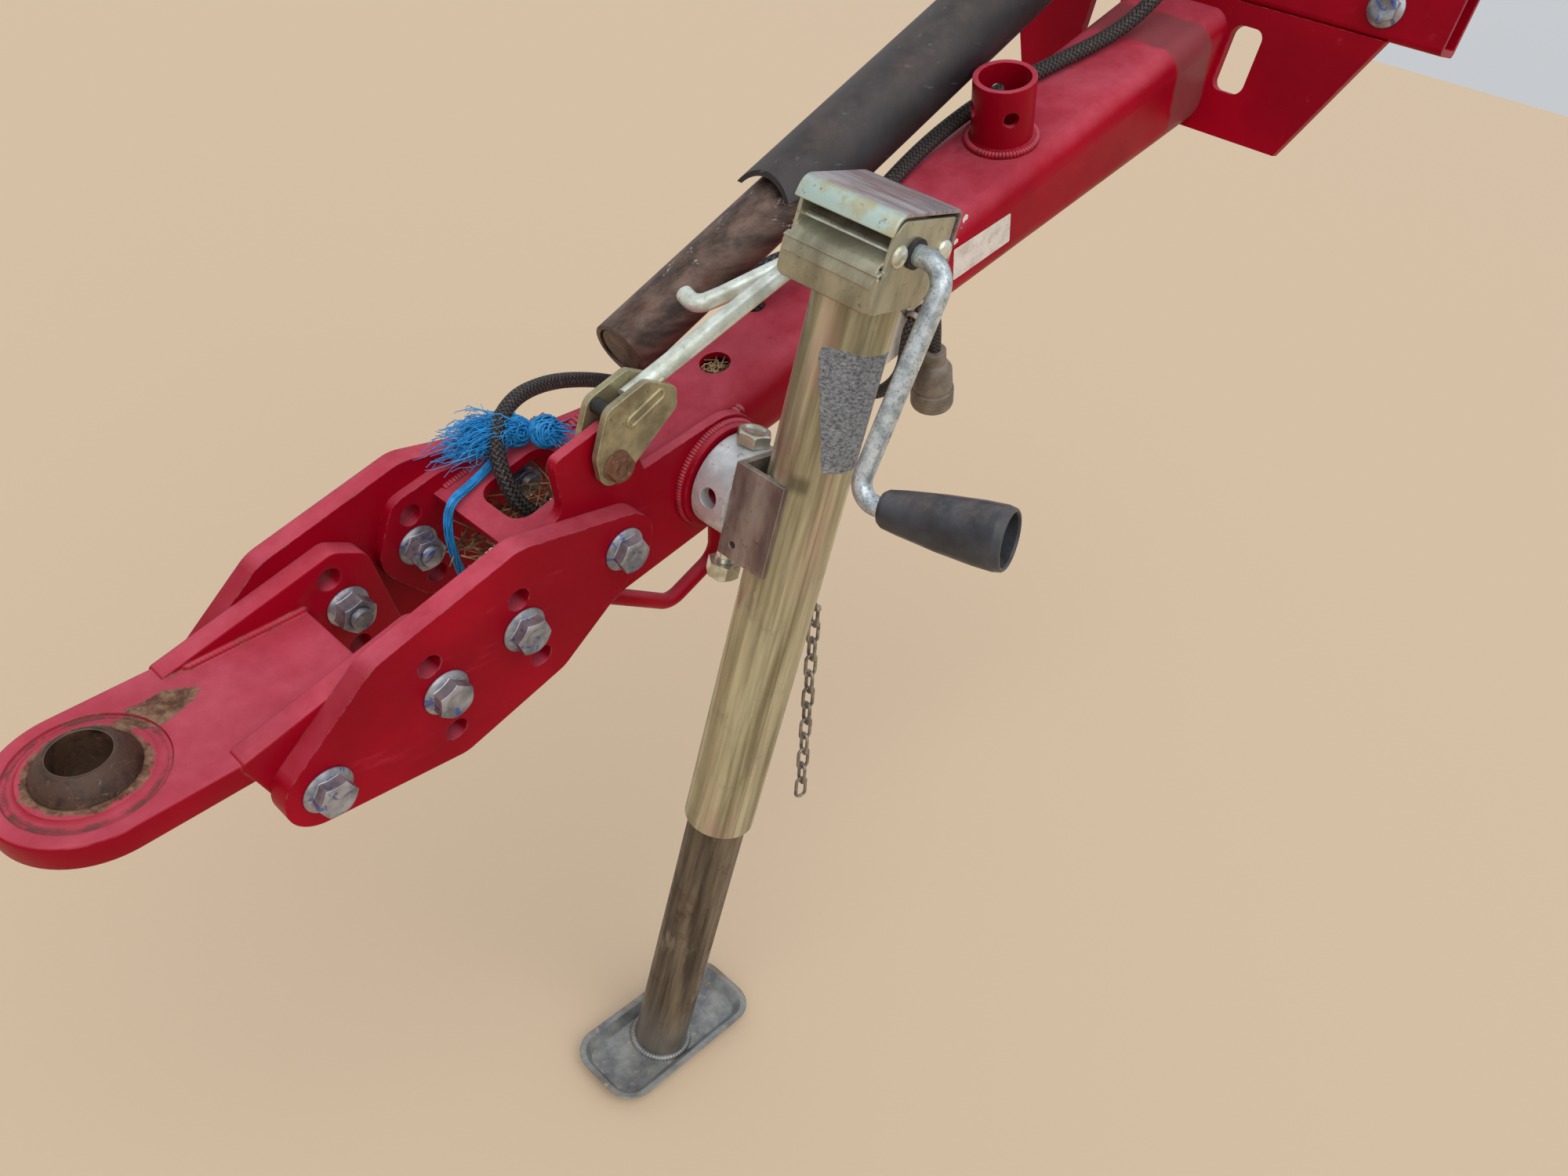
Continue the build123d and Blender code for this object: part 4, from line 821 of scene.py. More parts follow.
def shield_finish():
    """Weathered black plastic, greyer and dusty on top."""
    plastic = Finish("shield_plastic", roughness=0.55, specular=0.4)
    drift = plastic.cloud(16, 5, 0.6)
    base = plastic.mix(plastic.between(drift, 0.3, 0.7), tint(24, 24, 28), tint(42, 42, 47))
    top = plastic.between(plastic.upward(), 0.1, 0.9)
    film = plastic.between(plastic.cloud(26, 6, 0.7), 0.35, 0.75)
    base = plastic.mix(plastic.times(top, plastic.shade(film, 0.08, 0.3)), base, tint(150, 130, 122))
    along = plastic.scaled((0.12, 1, 1), (0, math.radians(33.6), 0))
    scratch = plastic.between(plastic.cloud(150, 4, 0.6, of=along), 0.64, 0.72)
    base = plastic.mix(plastic.times(scratch, 0.4), base, tint(120, 114, 118))
    base = plastic.mix(plastic.times(plastic.worn_edges(0.002, 0.05, 0.3), 0.5), base, tint(118, 112, 112))
    plastic.rounded(0.0012)
    return plastic.done(base, plastic.shade(film, 0.42, 0.7), height=plastic.cloud(180, 4, 0.6), depth=0.0004,
                        strength=0.4)


def plastic_finish(name, dark, light, rough, dust, scale=40):
    """Moulded plastic with a little dust and pale rubbed edges."""
    plastic = Finish(name, roughness=rough, specular=0.45)
    base = plastic.mix(plastic.between(plastic.cloud(scale, 5, 0.6), 0.3, 0.7), dark, light)
    top = plastic.between(plastic.upward(), 0.2, 0.95)
    film = plastic.between(plastic.cloud(scale * 1.6, 6, 0.7), 0.35, 0.7)
    base = plastic.mix(plastic.times(plastic.times(top, film), dust), base, tint(176, 158, 142))
    base = plastic.mix(plastic.times(plastic.worn_edges(0.0014, 0.05, 0.3), 0.3), base,
                       tuple(min(1, c * 2.4 + 0.03) for c in light))
    plastic.rounded(0.001)
    return plastic.done(base, plastic.shade(film, rough - 0.06, rough + 0.16),
                        height=plastic.cloud(500, 3, 0.6), depth=0.0002, strength=0.4)


def braid_finish():
    """Woven sleeve: crossing flat carriers in black with brown flecks, by the UV map."""
    braid = Finish("braided_sleeve", roughness=0.62, specular=0.4)
    across = braid.node("SeparateXYZ", {0: braid.node("TexCoord", result="UV")})
    along = braid.node("SeparateXYZ", {0: braid.node("TexCoord", result="UV")}, result=1)
    turns, length = braid.times(across, 7.0), braid.times(along, 9.0)
    first, second = braid.calc("ADD", turns, length), braid.calc("SUBTRACT", turns, length)
    waves = [braid.calc("ABSOLUTE", braid.calc("SINE", braid.times(way, math.pi))) for way in (first, second)]
    over = braid.node("TexChecker", {0: braid.node("CombineXYZ", {0: first, 1: second, 2: 0.5}), "Scale": 1.0},
                      result=1)
    weave = braid.shade(over, waves[0], waves[1])
    fleck = braid.between(braid.cloud(300, 4, 0.7), 0.56, 0.66)
    base = braid.mix(braid.between(weave, 0.2, 0.9), tint(16, 15, 16), tint(64, 60, 60))
    base = braid.mix(braid.times(fleck, braid.between(weave, 0.3, 0.9)), base, tint(122, 96, 74))
    return braid.done(base, braid.shade(weave, 0.8, 0.5), height=weave, depth=0.0012, strength=0.9)


def twine_finish():
    """Blue plastic fibre, darker at places and paler at others."""
    fibre = Finish("blue_twine", roughness=0.5, specular=0.5)
    blue = tuple(colours().twine)
    drift = fibre.cloud(140, 4, 0.6)
    base = fibre.mix(fibre.between(drift, 0.3, 0.6), tuple(c * 0.6 for c in blue), blue)
    base = fibre.mix(fibre.times(fibre.between(fibre.cloud(60, 4), 0.55, 0.7), 0.35), base,
                     tuple(min(1, c * 1.5 + 0.12) for c in blue))
    return fibre.done(base, 0.5)


def straw_finish():
    straw = Finish("dry_straw", roughness=0.8, specular=0.3)
    base = straw.mix(straw.between(straw.cloud(90, 4), 0.35, 0.65), tint(86, 66, 48), tint(178, 150, 112))
    return straw.done(base, 0.8)


def label_finish():
    """Blank printed label stock, a little dirty, with thin cracks."""
    stock = Finish("blank_label", roughness=0.5, specular=0.4)
    base = stock.mix(stock.between(stock.cloud(60, 6, 0.7), 0.4, 0.75), tint(226, 220, 214), tint(190, 178, 170))
    base = stock.stain(base, stock.cloud(190, 6, 0.75), 0.62, 0.68, 0.6, tint(150, 96, 92))
    return stock.done(base, 0.5)


def weld_finish(name, dark, light, dust, rough=0.5, metallic=0.0):
    """Rippled bead, painted over or bare."""
    weld = Finish(name, metallic=metallic, roughness=rough)
    base = weld.mix(weld.between(weld.cloud(120, 5, 0.65), 0.35, 0.65), dark, light)
    # dust and a painted sky reflection on what faces up
    top = weld.between(weld.upward(), 0.2, 0.95)
    base = weld.mix(weld.times(top, dust), base, tuple(colours().dust))
    return weld.done(base, rough, height=weld.cloud(600, 4, 0.7), depth=0.0003, strength=0.6)


FINISHES = {}


def finish(name):
    """Each finish is made once, at its first use."""
    crimson = tuple(colours().paint)
    makers = {
        "paint": lambda: paint_finish("crimson_paint", 0.45, 0.5),
        "beam_paint": lambda: paint_finish("crimson_beam_paint", 0.5, 0.55, bands=[
            (-656, -594, 3, tint(118, 72, 74), 0.8)]),
        "plate_paint": lambda: paint_finish("crimson_plate_paint", 0.55, 0.9),
        "panel_paint": lambda: paint_finish("crimson_panel_paint", 0.35, 0.35),
        "eye": eye_finish,
        "cover_zinc": cover_finish,
        "jack_tube": jack_tube_finish,
        "leg": leg_finish,
        "foot": foot_finish,
        "rust": lambda: rusty_finish("rusty_bolt", [(62, 38, 28), (122, 84, 64), (176, 132, 108)], 90),
        "ball": lambda: rusty_finish("greasy_ball", [(40, 26, 20), (78, 54, 42), (120, 92, 74)], 80,
                                     rough=0.6, shine=tint(150, 124, 104)),
        "yoke": lambda: rusty_finish("yoke_steel", [(52, 40, 34), (92, 68, 54), (132, 104, 84)], 50),
        "driveline": tube_finish,
        "shield": shield_finish,
        "grip": lambda: plastic_finish("grip_plastic", tint(40, 42, 48), tint(66, 70, 78), 0.34, 0.2, 30),
        "black": lambda: plastic_finish("black_plastic", tint(20, 20, 22), tint(40, 40, 42), 0.5, 0.15),
        "plug": lambda: plastic_finish("plug_plastic", tint(88, 80, 72), tint(128, 118, 106), 0.55, 0.4, 60),
        "braid": braid_finish,
        "twine": twine_finish,
        "straw": straw_finish,
        "label": label_finish,
        "weld": lambda: weld_finish("painted_weld", tuple(c * 0.55 for c in crimson), crimson, 0.35),
        "bare_weld": lambda: weld_finish(
            "bare_weld", tint(110, 100, 90), tint(214, 208, 198), 0.05, 0.35, 0.75),
    }
    if name not in FINISHES:
        FINISHES[name] = plated_finish(name, **PLATES[name]) if name in PLATES else makers[name]()
    return FINISHES[name]


def dress(node, name):
    """Gives a CAD node its finish."""
    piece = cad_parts[node]
    piece.data.materials.clear()
    piece.data.materials.append(finish(name))


def fit(piece, name, body, slot, *nodes):
    """Gives a new piece its finish and its body, and hides the CAD nodes it stands for."""
    piece.data.materials.clear()
    piece.data.materials.append(finish(name))
    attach(piece, body)
    if nodes:
        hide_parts(*nodes)
    return piece


def built(name, parts, finish_name, body, slot, *nodes, smooth=35):
    """Joins parts into one new piece, shades it and fits it."""
    return fit(settle(join(name, parts), name, smooth=smooth), finish_name, body, slot, *nodes)


# Routes of the cords, in the beam's frame unless said otherwise

HARNESS = [Vector(p) * MM for p in ((60, 12, 8), (80, 12, 8), (100, 11, -8), (118, 7, -36))] + [
    on_beam(*p) for p in (
        (-585, -6, 9.5), (-500, -26, 9), (-420, -44, 8.5), (-330, -44, 8.5), (-240, -30, 8.5), (-170, -12, 9),
        (-128, -3, 20), (-104, -4, 36), (-78, -14, 37), (-70, -22, 14), (-70, -22, -10))]
LEAD = [on_beam(*p) for p in (
    (70, 0, -41), (100, -1, -41), (135, -2, -32), (172, 1, -26), (196, -2, -4), (198, -12, 26), (184, -32, 46),
    (152, -51, 47), (112, -63, 28), (72, -69, -2), (36, -73, -36), (-12, -74, -64), (-66, -62, -90),
    (-112, -28, -112), (-140, 6, -128), (-154, 34, -130), (-160, 52, -108), (-161, 60, -84), (-162, 62, -64),
    (-167, 62, -47), (-183, 62, -39), (-199, 62, -48), (-203, 62, -69), (-202, 62, -95))]
TAIL = [on_beam(*p) for p in (
    (174, -34, 32), (194, -31, 26), (216, -28, 25), (236, -24, 28), (248, -20, 12), (252, -18, -14),
    (252, -19, -42))]


class DRAWBAR_OT_leads(bpy.types.Operator):
    """Lays the braided harness and front lead and fits the lead's plug, clip and gland"""

    bl_idname = "drawbar.leads"
    bl_label = "Harness and lead"

    def execute(self, context):
        set_up = sizes()
        path = route("harness", HARNESS)
        harness = fit(tube("harness_sleeve", path, set_up.harness_width / 2), "braid", "drawbar", "braid", "harness")
        plug = self.plug()
        path = route("front_lead", LEAD)
        lead = fit(tube("lead_sleeve", path, set_up.lead_width / 2), "braid", "drawbar", "lead_rubber", "front_lead")
        dress("harness_gland", "black")
        dress("lead_clip", "chain_zinc")
        return {"FINISHED"}

    def plug(self):
        rows = [(9, 0), (11, 0.6), (11.4, 13), (13, 15), (16, 19), (17.2, 21), (18.6, 39), (18.8, 40.5), (17.8, 41.2),
                (17.8, 42.6), (19.8, 43.4), (20, 45), (20, 60), (19.2, 62), (16, 62), (15.5, 61), (15.5, 39), (4, 38)]
        body = turned("plug_body", rows, 40)
        axis = (LEAD[-1] - LEAD[-2]).normalized()
        rib = turned("plug_rib", [(19.6, 46), (20.1, 46.4), (20.1, 47.4), (19.6, 47.8)], 40)
        ribs = copies("plug_ribs", rib, [Matrix.Translation((0, 0, step * 4 * MM)) for step in range(4)])
        plug = join("light_plug", [body, ribs])
        settle(plug, "light_plug", placed(LEAD[-1], axis, LEFT))
        return fit(plug, "plug", "drawbar", "plug_grey", "lead_plug")


def coil(centre, radius, seed, turns, across):
    """A loosely wound strand on a flattened ball."""
    dice = random.Random(seed)
    axis = (across + Vector([dice.uniform(-0.7, 0.7) for _ in range(3)])).normalized()
    side = axis.orthogonal().normalized()
    rise = axis.cross(side)
    line = []
    lean, reach = dice.uniform(-0.75, 0.75), dice.uniform(0.78, 1.0)
    for step in range(int(turns * 14) + 1):
        angle = step / 14 * 2 * math.pi
        height = lean + 0.25 * math.sin(angle * 0.37 + seed)
        height = max(-0.9, min(0.9, height))
        width = math.sqrt(1 - height * height) * reach
        point = side * math.cos(angle) * width + rise * math.sin(angle) * width + axis * height * reach
        line.append(centre + point * radius * MM)
    return line


class DRAWBAR_OT_twine(bpy.types.Operator):
    """Ties the blue twine round the lead: two knots, a frayed plume and a hanging tail"""

    bl_idname = "drawbar.twine"
    bl_label = "Blue twine"

    def execute(self, context):
        dice = random.Random(4)
        noise.seed_set(4)
        width = sizes().strand_width
        lines = []
        for index, (u, v, w) in enumerate(((165, -35, 34), (151, -18, 33))):
            centre = on_beam(u, v, w)
            lines += [coil(centre, 12.2, 20 * index + n, 1.6, LEFT) for n in range(30)]
        knot = strands("twine_knots", lines, width * 1.5, 1.0)
        plume = []
        for n in range(sizes().plume_strands):
            start = on_beam(166 + dice.uniform(-6, 8), -36 + dice.uniform(-9, 9), 38 + dice.uniform(-5, 6))
            reach = dice.uniform(0.45, 1.0)
            aim = on_beam(200 + dice.gauss(4, 15), -48 + dice.gauss(0, 11), 47 + dice.gauss(0, 5))
            line = []
            bend = Vector([dice.uniform(-1, 1) for _ in range(3)]) * 0.007
            for step in range(10):
                share = step / 9
                point = start.lerp(aim, share * reach) + bend * math.sin(share * math.pi)
                point += wander(point, 60, 0.007 * share, n % 11) + wander(point, 200, 0.003 * share, n)
                line.append(held_in(point))
            plume.append(line)
        for n in range(60):  # the short end on the other side
            start = on_beam(150 + dice.uniform(-5, 5), -16 + dice.uniform(-5, 5), 34 + dice.uniform(-4, 4))
            aim = (start + LEFT * dice.uniform(0.008, 0.02) - DOWN * dice.uniform(-0.004, 0.012)
                   + UP * dice.uniform(-0.004, 0.006))
            line = []
            for step in range(7):
                point = start.lerp(aim, step / 6)
                line.append(held_in(point + wander(point, 140, 0.003 * step / 6, n)))
            plume.append(line)
        frayed = strands("twine_plume", plume, width, 0.5)
        tie = join("twine_tie", [knot, frayed])
        fit(tie, "twine", "drawbar", "twine_blue", "twine_knot")
        path = route("twine_tail", TAIL)
        bundle = []
        rows = frames_along(path)
        for n in range(44):
            angle, spread = dice.uniform(0, 2 * math.pi), dice.uniform(0.2, 1.0)
            line = []
            for point, side, rise, distance in rows[: len(rows) - max(0, dice.randrange(-9, 8))]:
                swing = angle + distance * 26 + 0.5 * math.sin(distance * 90 + n)
                offset = (side * math.cos(swing) + rise * math.sin(swing)) * 3.1 * MM * spread
                line.append(point + offset)
            bundle.append(line)
        tail = strands("twine_tail_strands", bundle, width, 0.8)
        fit(tail, "twine", "drawbar", "twine_blue", "twine_tail")
        return {"FINISHED"}


# The plume's room on the beam: its end, its sides and its top, and how high the front plate stands
PLUME_END, PLUME_RIGHT, PLUME_LEFT, PLUME_TOP = 250, -70, 8, 60
PLATE_EDGE, PLATE_TOP, EDGE_TOP = 235, 22, 26


def held_in(point):
    """Keeps a strand above the front plate and inside the plume's room."""
    away = point - HOLE
    u, v, w = away.dot(DOWN) / MM, point.y / MM, away.dot(UP) / MM
    low = PLATE_TOP if u < PLATE_EDGE else EDGE_TOP
    return on_beam(min(u, PLUME_END), max(PLUME_RIGHT, min(v, PLUME_LEFT)), max(low, min(w, PLUME_TOP)))


STRAP_BOLTS = [(170, -14, 48), (262, -11, 48), (328, -9, 40), (420, -8, 40)]  # u, w, nut seat
STRAP_FACE = 72
NUT_HEIGHT, BOLT_PAST_NUT = 16.5, 4
BOLT_RADIUS, LOCK_RADIUS, SEAT_DEPTH = 8, 7.7, 0.5
FRAME_BOLT = Vector((0.05, 0.197, 0))
FRAME_BOLT_END = -80
LOCK_Y = -56  # the lock bolt's way from the jack's axis


class DRAWBAR_OT_fasteners(bpy.types.Operator):
    """Puts in the flange bolts with their nuts, the frame bolts and the jack's lock bolt"""

    bl_idname = "drawbar.fasteners"
    bl_label = "Bolts and nuts"

    def thread(self, radius, start, end, pitch=2.0):
        """A shank whose first 22 mm are ridges."""
        deep, threaded = 0.9, 22
        rows = [(radius - deep, start), (radius - 0.1, start + deep)]
        height = start + deep
        while height + pitch < min(end, start + threaded):
            rows += [(radius - deep, height + pitch * 0.5), (radius - 0.05, height + pitch)]
            height += pitch
        rows += [(radius, height + 0.4), (radius, end)]
        return turned("thread", rows, 24)

    def execute(self, context):
        across = sizes().bolt_across / MM
        heads, nuts = [], []
        bolt = hex_head(across, 13.5, 17)
        nut = hex_head(across, NUT_HEIGHT, 16)
        dice = random.Random(8)
        for u, w, seat in STRAP_BOLTS:
            tip = seat - NUT_HEIGHT - BOLT_PAST_NUT
            for side in (1, -1):
                turn = Matrix.Rotation(dice.uniform(0, math.pi / 3), 4, "Z")
                out = placed(on_beam(u, side * STRAP_FACE, w), LEFT * side) @ turn
                shank = self.thread(BOLT_RADIUS, tip - STRAP_FACE, SEAT_DEPTH)
                heads.append(copies("bolt", bolt, [out], keep=True))
                heads.append(copies("shank", shank, [out]))
                turn = Matrix.Rotation(dice.uniform(0, math.pi / 3), 4, "Z")
                nuts.append(copies("nut", nut, [placed(on_beam(u, side * seat, w), -LEFT * side) @ turn], keep=True))
        built("strap_bolt_set", heads, "bolt_zinc", "drawbar", "zinc", "strap_bolts")
        built("strap_nut_set", nuts, "bolt_zinc", "drawbar", "zinc", "strap_nuts")
        places = [placed(Vector((FRAME_BOLT.x, side * FRAME_BOLT.y, 0)), AHEAD, LEFT) for side in (1, -1)]
        stud = self.thread(BOLT_RADIUS, FRAME_BOLT_END, SEAT_DEPTH)
        studs = [copies("bolt", bolt, places, keep=True), copies("stud", stud, places)]
        built("frame_bolt_set", studs, "bolt_zinc", "drawbar", "zinc", "frame_bolts")
        for pattern in (bolt, nut):
            bpy.data.objects.remove(pattern)
        lock_top, lock_end, nut_seat = -369, -469.5, -473
        top = placed(by_jack(0, LOCK_Y, lock_top), SKY, (1, 0.25, 0))
        stem = turned("stem", [(LOCK_RADIUS, -9.4), (LOCK_RADIUS, 0.4)], 24)
        lower = self.thread(LOCK_RADIUS, -20, 33, 1.8)
        parts = [copies("lock_head", hex_head(across, 10), [top]), copies("stem", stem, [top]),
                 copies("lower", lower, [placed(by_jack(0, LOCK_Y, lock_end), SKY, AHEAD)])]
        built("jack_lock_bolt", parts, "bright_zinc", "jack", "zinc", "lock_bolt")
        parts = [copies("nut", hex_head(across, 13), [placed(by_jack(0, LOCK_Y, nut_seat), -SKY, (1, 0.4, 0))])]
        built("jack_lock_nut", parts, "bright_zinc", "jack", "zinc", "lock_nut")
        return {"FINISHED"}


# The jack head's sheets: (across, height, corner radius) in millimetres from the jack's axis
COVER = [(-32, -214, 0), (-32, -167, 3), (33, -167, 9), (37.5, -179, 0)]
WALL = [(-29.5, -169.4, 2), (27, -169.4, 7), (34.5, -178, 1), (37, -205, 2), (40, -228, 1.5), (-14, -228, 2),
        (-29.5, -211, 3)]
SILL = [(6, -184, 0), (20, -187, 10), (38, -200, 8), (42, -212, 0)]
LIP = [(-39, -203, 3), (39, -203, 3), (39, -228, 6), (-39, -228, 6)]
LIP_CURL = [(33.5, -203.5, 0), (38, -201.8, 2.5), (42, -204, 0)]
INNER = [(-35, -226, 1), (35, -226, 1), (35, -170, 1), (-35, -170, 1)]
WALL_SHEET, WALL_FACE = 2.8, 38
LIP_AHEAD, INNER_AHEAD = 39.2, -6
BAR_AHEAD, BAR_RADIUS, BAR_HEIGHT = 25, 3.8, -191
RIVET = [(7.6, 0), (7.6, 0.5), (7.0, 1.8), (5.4, 3.0), (3.0, 3.7), (0.8, 3.9)]


class DRAWBAR_OT_head(bpy.types.Operator):
    """Folds the jack's head from sheet: cover, side walls, sill, lip, rivets and a bright bar"""

    bl_idname = "drawbar.head"
    bl_label = "Jack head"

    def execute(self, context):
        middle = placed(JACK, -LEFT, AHEAD)
        cover = folded("cover", COVER, -39, 39, 2.6, middle)
        fit(cover, "cover_zinc", "jack", "galvanised")
        parts = []
        for side, inward in ((1, 0), (-1, -WALL_SHEET)):
            place = placed(by_jack(0, side * WALL_FACE, 0), -LEFT, AHEAD)
            parts.append(panel("wall", WALL, WALL_SHEET, place @ Matrix.Translation((0, 0, inward * MM)), edge=0.7))
        parts.append(folded("sill", SILL, -35.2, 35.2, 2.4, middle))
        parts.append(panel("lip", LIP, WALL_SHEET, placed(by_jack(LIP_AHEAD, 0, 0), AHEAD, LEFT), edge=0.9))
        parts.append(folded("lip_curl", LIP_CURL, -38.6, 38.6, 2.0, middle))
        built("head_shell", parts, "head_zinc", "jack", "galvanised", "jack_head")
        back = panel("inner_panel", INNER, 1.6, placed(by_jack(INNER_AHEAD, 0, 0), AHEAD, LEFT))
        fit(back, "channel_zinc", "jack", "galvanised")
        bars = []
        for x in (-BAR_AHEAD, BAR_AHEAD):
            bar = turned("bar", [(BAR_RADIUS, -WALL_FACE), (BAR_RADIUS, WALL_FACE)], 20)
            bars.append(settle(bar, "bar", placed(by_jack(x, 0, BAR_HEIGHT), LEFT, AHEAD)))
            for side in (1, -1):
                seat = placed(by_jack(x, side * (WALL_FACE - 0.1), BAR_HEIGHT), LEFT * side, AHEAD)
                bars.append(settle(turned("rivet", RIVET), "rivet", seat, smooth=50))
        built("head_bars", bars, "bright_zinc", "jack", "bright_zinc", "head_pins", smooth=50)
        return {"FINISHED"}


# The tow eye, in millimetres: its plate from the ball's middle, its flanges on the beam
NOSE, PLATE_HALF, PLATE_THICK, PLATE_ABOVE = 55, 41, 19, 9.5
GROOVE = [(45, 3), (45, -0.6), (44.2, -1.5)]
BOSS = [(42.0, -3), (42.0, -1.2), (40.6, -0.5), (39.6, -0.3), (38.0, 0.3), (36.2, 1.8), (33.4, 2.2)]
FLANGE = [(298, 20, 14), (318, 39, 12), (449, 39, 4), (447, 22, 6), (442, -34, 26), (360, -64, 20), (300, -64, 14)]
FLANGE_HOLES = [(328, -9, 8.5), (420, -8, 8.5), (329, 21, 8.5), (334, -48, 8.5)]
FLANGE_THICK, FLANGE_INSIDE = 16, 40


class DRAWBAR_OT_eye(bpy.types.Operator):
    """Shapes the tow eye: a plate with a round nose, a groove and a collar, and its two flanges"""

    bl_idname = "drawbar.eye"
    bl_label = "Tow eye"

    def execute(self, context):
        place = placed(BALL + EYE_UP * PLATE_ABOVE * MM, EYE_UP, EYE_OUT)
        turns = [math.radians(degrees) for degrees in range(-90, 91, 5)]
        outline = [(NOSE * math.cos(turn), NOSE * math.sin(turn), 0) for turn in turns] + [
            (-73, NOSE, 5), (-78, PLATE_HALF, 0), (-161, PLATE_HALF, 4),
            (-161, -PLATE_HALF, 4), (-78, -PLATE_HALF, 0), (-73, -NOSE, 5)]
        plate = panel("plate", outline, PLATE_THICK, Matrix.Translation((0, 0, -PLATE_THICK * MM)), edge=2.2)
        cut(plate, turned("sink", GROOVE, 96))
        cut(plate, turned("boss", BOSS, 96), "UNION")
        fresh()
        bpy.ops.mesh.primitive_uv_sphere_add(
            segments=64, ring_count=32, radius=0.0321, location=(0, 0, -PLATE_ABOVE * MM))
        cut(plate, bpy.context.object)
        parts = [settle(plate, "plate", place, smooth=30)]
        for v in (FLANGE_INSIDE, -FLANGE_INSIDE - FLANGE_THICK):
            seat = Matrix.Translation(on_beam(0, v, 0)) @ Matrix((DOWN, UP, -LEFT)).transposed().to_4x4()
            seat = seat @ Matrix.Translation((0, 0, -FLANGE_THICK * MM))
            parts.append(panel("flange", FLANGE, FLANGE_THICK, seat, FLANGE_HOLES, edge=1.8))
        for side in (1, -1):  # the fillets where the flanges meet the plate
            root = [place @ (Vector((x, side * (PLATE_HALF - 0.5), -0.5)) * MM) for x in range(-158, -74, 6)]
            parts.append(bead(root, 0.008, 1.1))
        built("eye_forging", parts, "eye", "drawbar", "eye_steel", "tow_eye")
        return {"FINISHED"}


# The rest's pivot on the beam and the faces of its two link plates, in millimetres
PIVOT, LINK_OUTER, LINK_INNER = (152, 51), 64.2, 39.8
SLOT, SLOT_RADIUS, SLOT_HALF = (118, 78), 4, 14
# The driveline's axis, a point of it and its tube's radius, in metres
SHAFT = Vector((0.832726, 0.02, -0.553324))
SHAFT_START = Vector((0.07009, -0.074, 0.074234))
SHAFT_RADIUS = 0.025


class DRAWBAR_OT_rest(bpy.types.Operator):
    """Puts the rusty bolt and the rod's welds on the link plates, and a plug in the driveline's end"""

    bl_idname = "drawbar.rest"
    bl_label = "Rest and driveline details"

    def execute(self, context):
        washer = turned("washer", [(11.5, -0.1), (11.5, 1.1), (10.5, 1.6), (8, 1.6)], 32)
        pattern = join("pivot_head", [hex_head(19, 8), washer])
        u, w = PIVOT
        seats = [placed(on_beam(u, LINK_OUTER, w), LEFT, (1, 0, 0.3)), placed(on_beam(u, LINK_INNER, w), -LEFT)]
        shank = turned("shank", [(6, LINK_INNER - LINK_OUTER), (6, SEAT_DEPTH)], 24)
        parts = [copies("pivot_heads", pattern, seats), copies("pivot_shank", shank, seats[:1])]
        built("rest_bolt", parts, "rust", "driveline_rest", "rust", "pivot_bolt")
        slot = []
        for turn in range(25):
            angle = math.radians(turn * 15)
            half = SLOT_HALF if math.cos(angle) > 0 else -SLOT_HALF
            u = SLOT[0] + math.cos(angle) * SLOT_RADIUS + half * 0.94
            w = SLOT[1] + math.sin(angle) * SLOT_RADIUS - half * 0.14
            slot.append(on_beam(u, LINK_OUTER, w))
        welds = [bead(slot, 0.0035, 0.9)]
        for v in (58.8, 45.2):  # both sides of the rod
            welds.append(bead([on_beam(u, v, 84 + (124 - u) * 0.026) for u in range(96, 126, 3)], 0.005))
        built("rest_welds", welds, "olive_zinc_plate", "driveline_rest", "galvanised", smooth=180)
        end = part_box("driveline_tube")[1][0] - SHAFT_RADIUS * math.sqrt(1 - SHAFT.x ** 2)
        tip = SHAFT_START + SHAFT * ((end - SHAFT_START.x) / SHAFT.x)
        plug = turned("driveline_plug", [(20.9, -30), (20.9, -3), (19.5, -1.4), (12, -0.6), (6, -1.2), (1, -1.6)], 48)
        settle(plug, "driveline_plug", placed(tip, SHAFT, LEFT), smooth=40)
        fit(plug, "driveline", "driveline_shaft", "drive_steel")
        return {"FINISHED"}


class DRAWBAR_OT_welds(bpy.types.Operator):
    """Runs the weld beads that join the frame's plates, the post, the stub and the jack"""

    bl_idname = "drawbar.welds"
    bl_label = "Welds"

    def execute(self, context):
        stub_height = -407
        seams = [
            bead(ring_of(on_beam(-380, 0, 2), UP, 31.5)),
            bead(ring_of(by_jack(0, -76.5, stub_height), LEFT, 31.5), 0.010),
            bead(ring_of(by_jack(0, -80.5, stub_height), LEFT, 43), 0.007)]
        # along the cheeks, the front plate's sides, its rear edge and the ear's foot
        for first, last, v, w, width in (
            (22, 126, 46, -7, 0.011), (30, 126, -46, -7, 0.011),
            (140, 232, 46.5, 19.5, 0.007), (140, 232, -46.5, 19.5, 0.007),
        ):
            seams.append(bead([on_beam(u, v, w) for u in range(first, last, 8)], width))
        seams.append(bead([on_beam(134, v, 16) for v in range(-44, 46, 6)], 0.008))
        turns = (0, 0.8, 1.6, 2.4, 3.1)
        seams.append(bead([on_beam(60 + 24 * math.cos(a), 57.5, -72 + 8 * math.sin(a)) for a in turns], 0.007))
        built("frame_welds", seams, "weld", "drawbar", "paint", smooth=180)
        jack = []
        for side in (1, -1):
            for x, y, low, high, width in ((25.5, -15.5, -443, -369, 0.006), (23.5, -40.5, -440, -371, 0.007)):
                jack.append(bead([by_jack(side * x, y, z) for z in range(low, high, 8)], width))
        built("jack_welds", jack, "bare_weld", "jack", "galvanised", smooth=180)
        foot = bead(ring_of(Vector((JACK.x, JACK.y, GROUND + 0.0045)), SKY, 27), 0.008)
        built("foot_weld", [foot], "foot", "leg", "foot_steel", smooth=180)
        return {"FINISHED"}


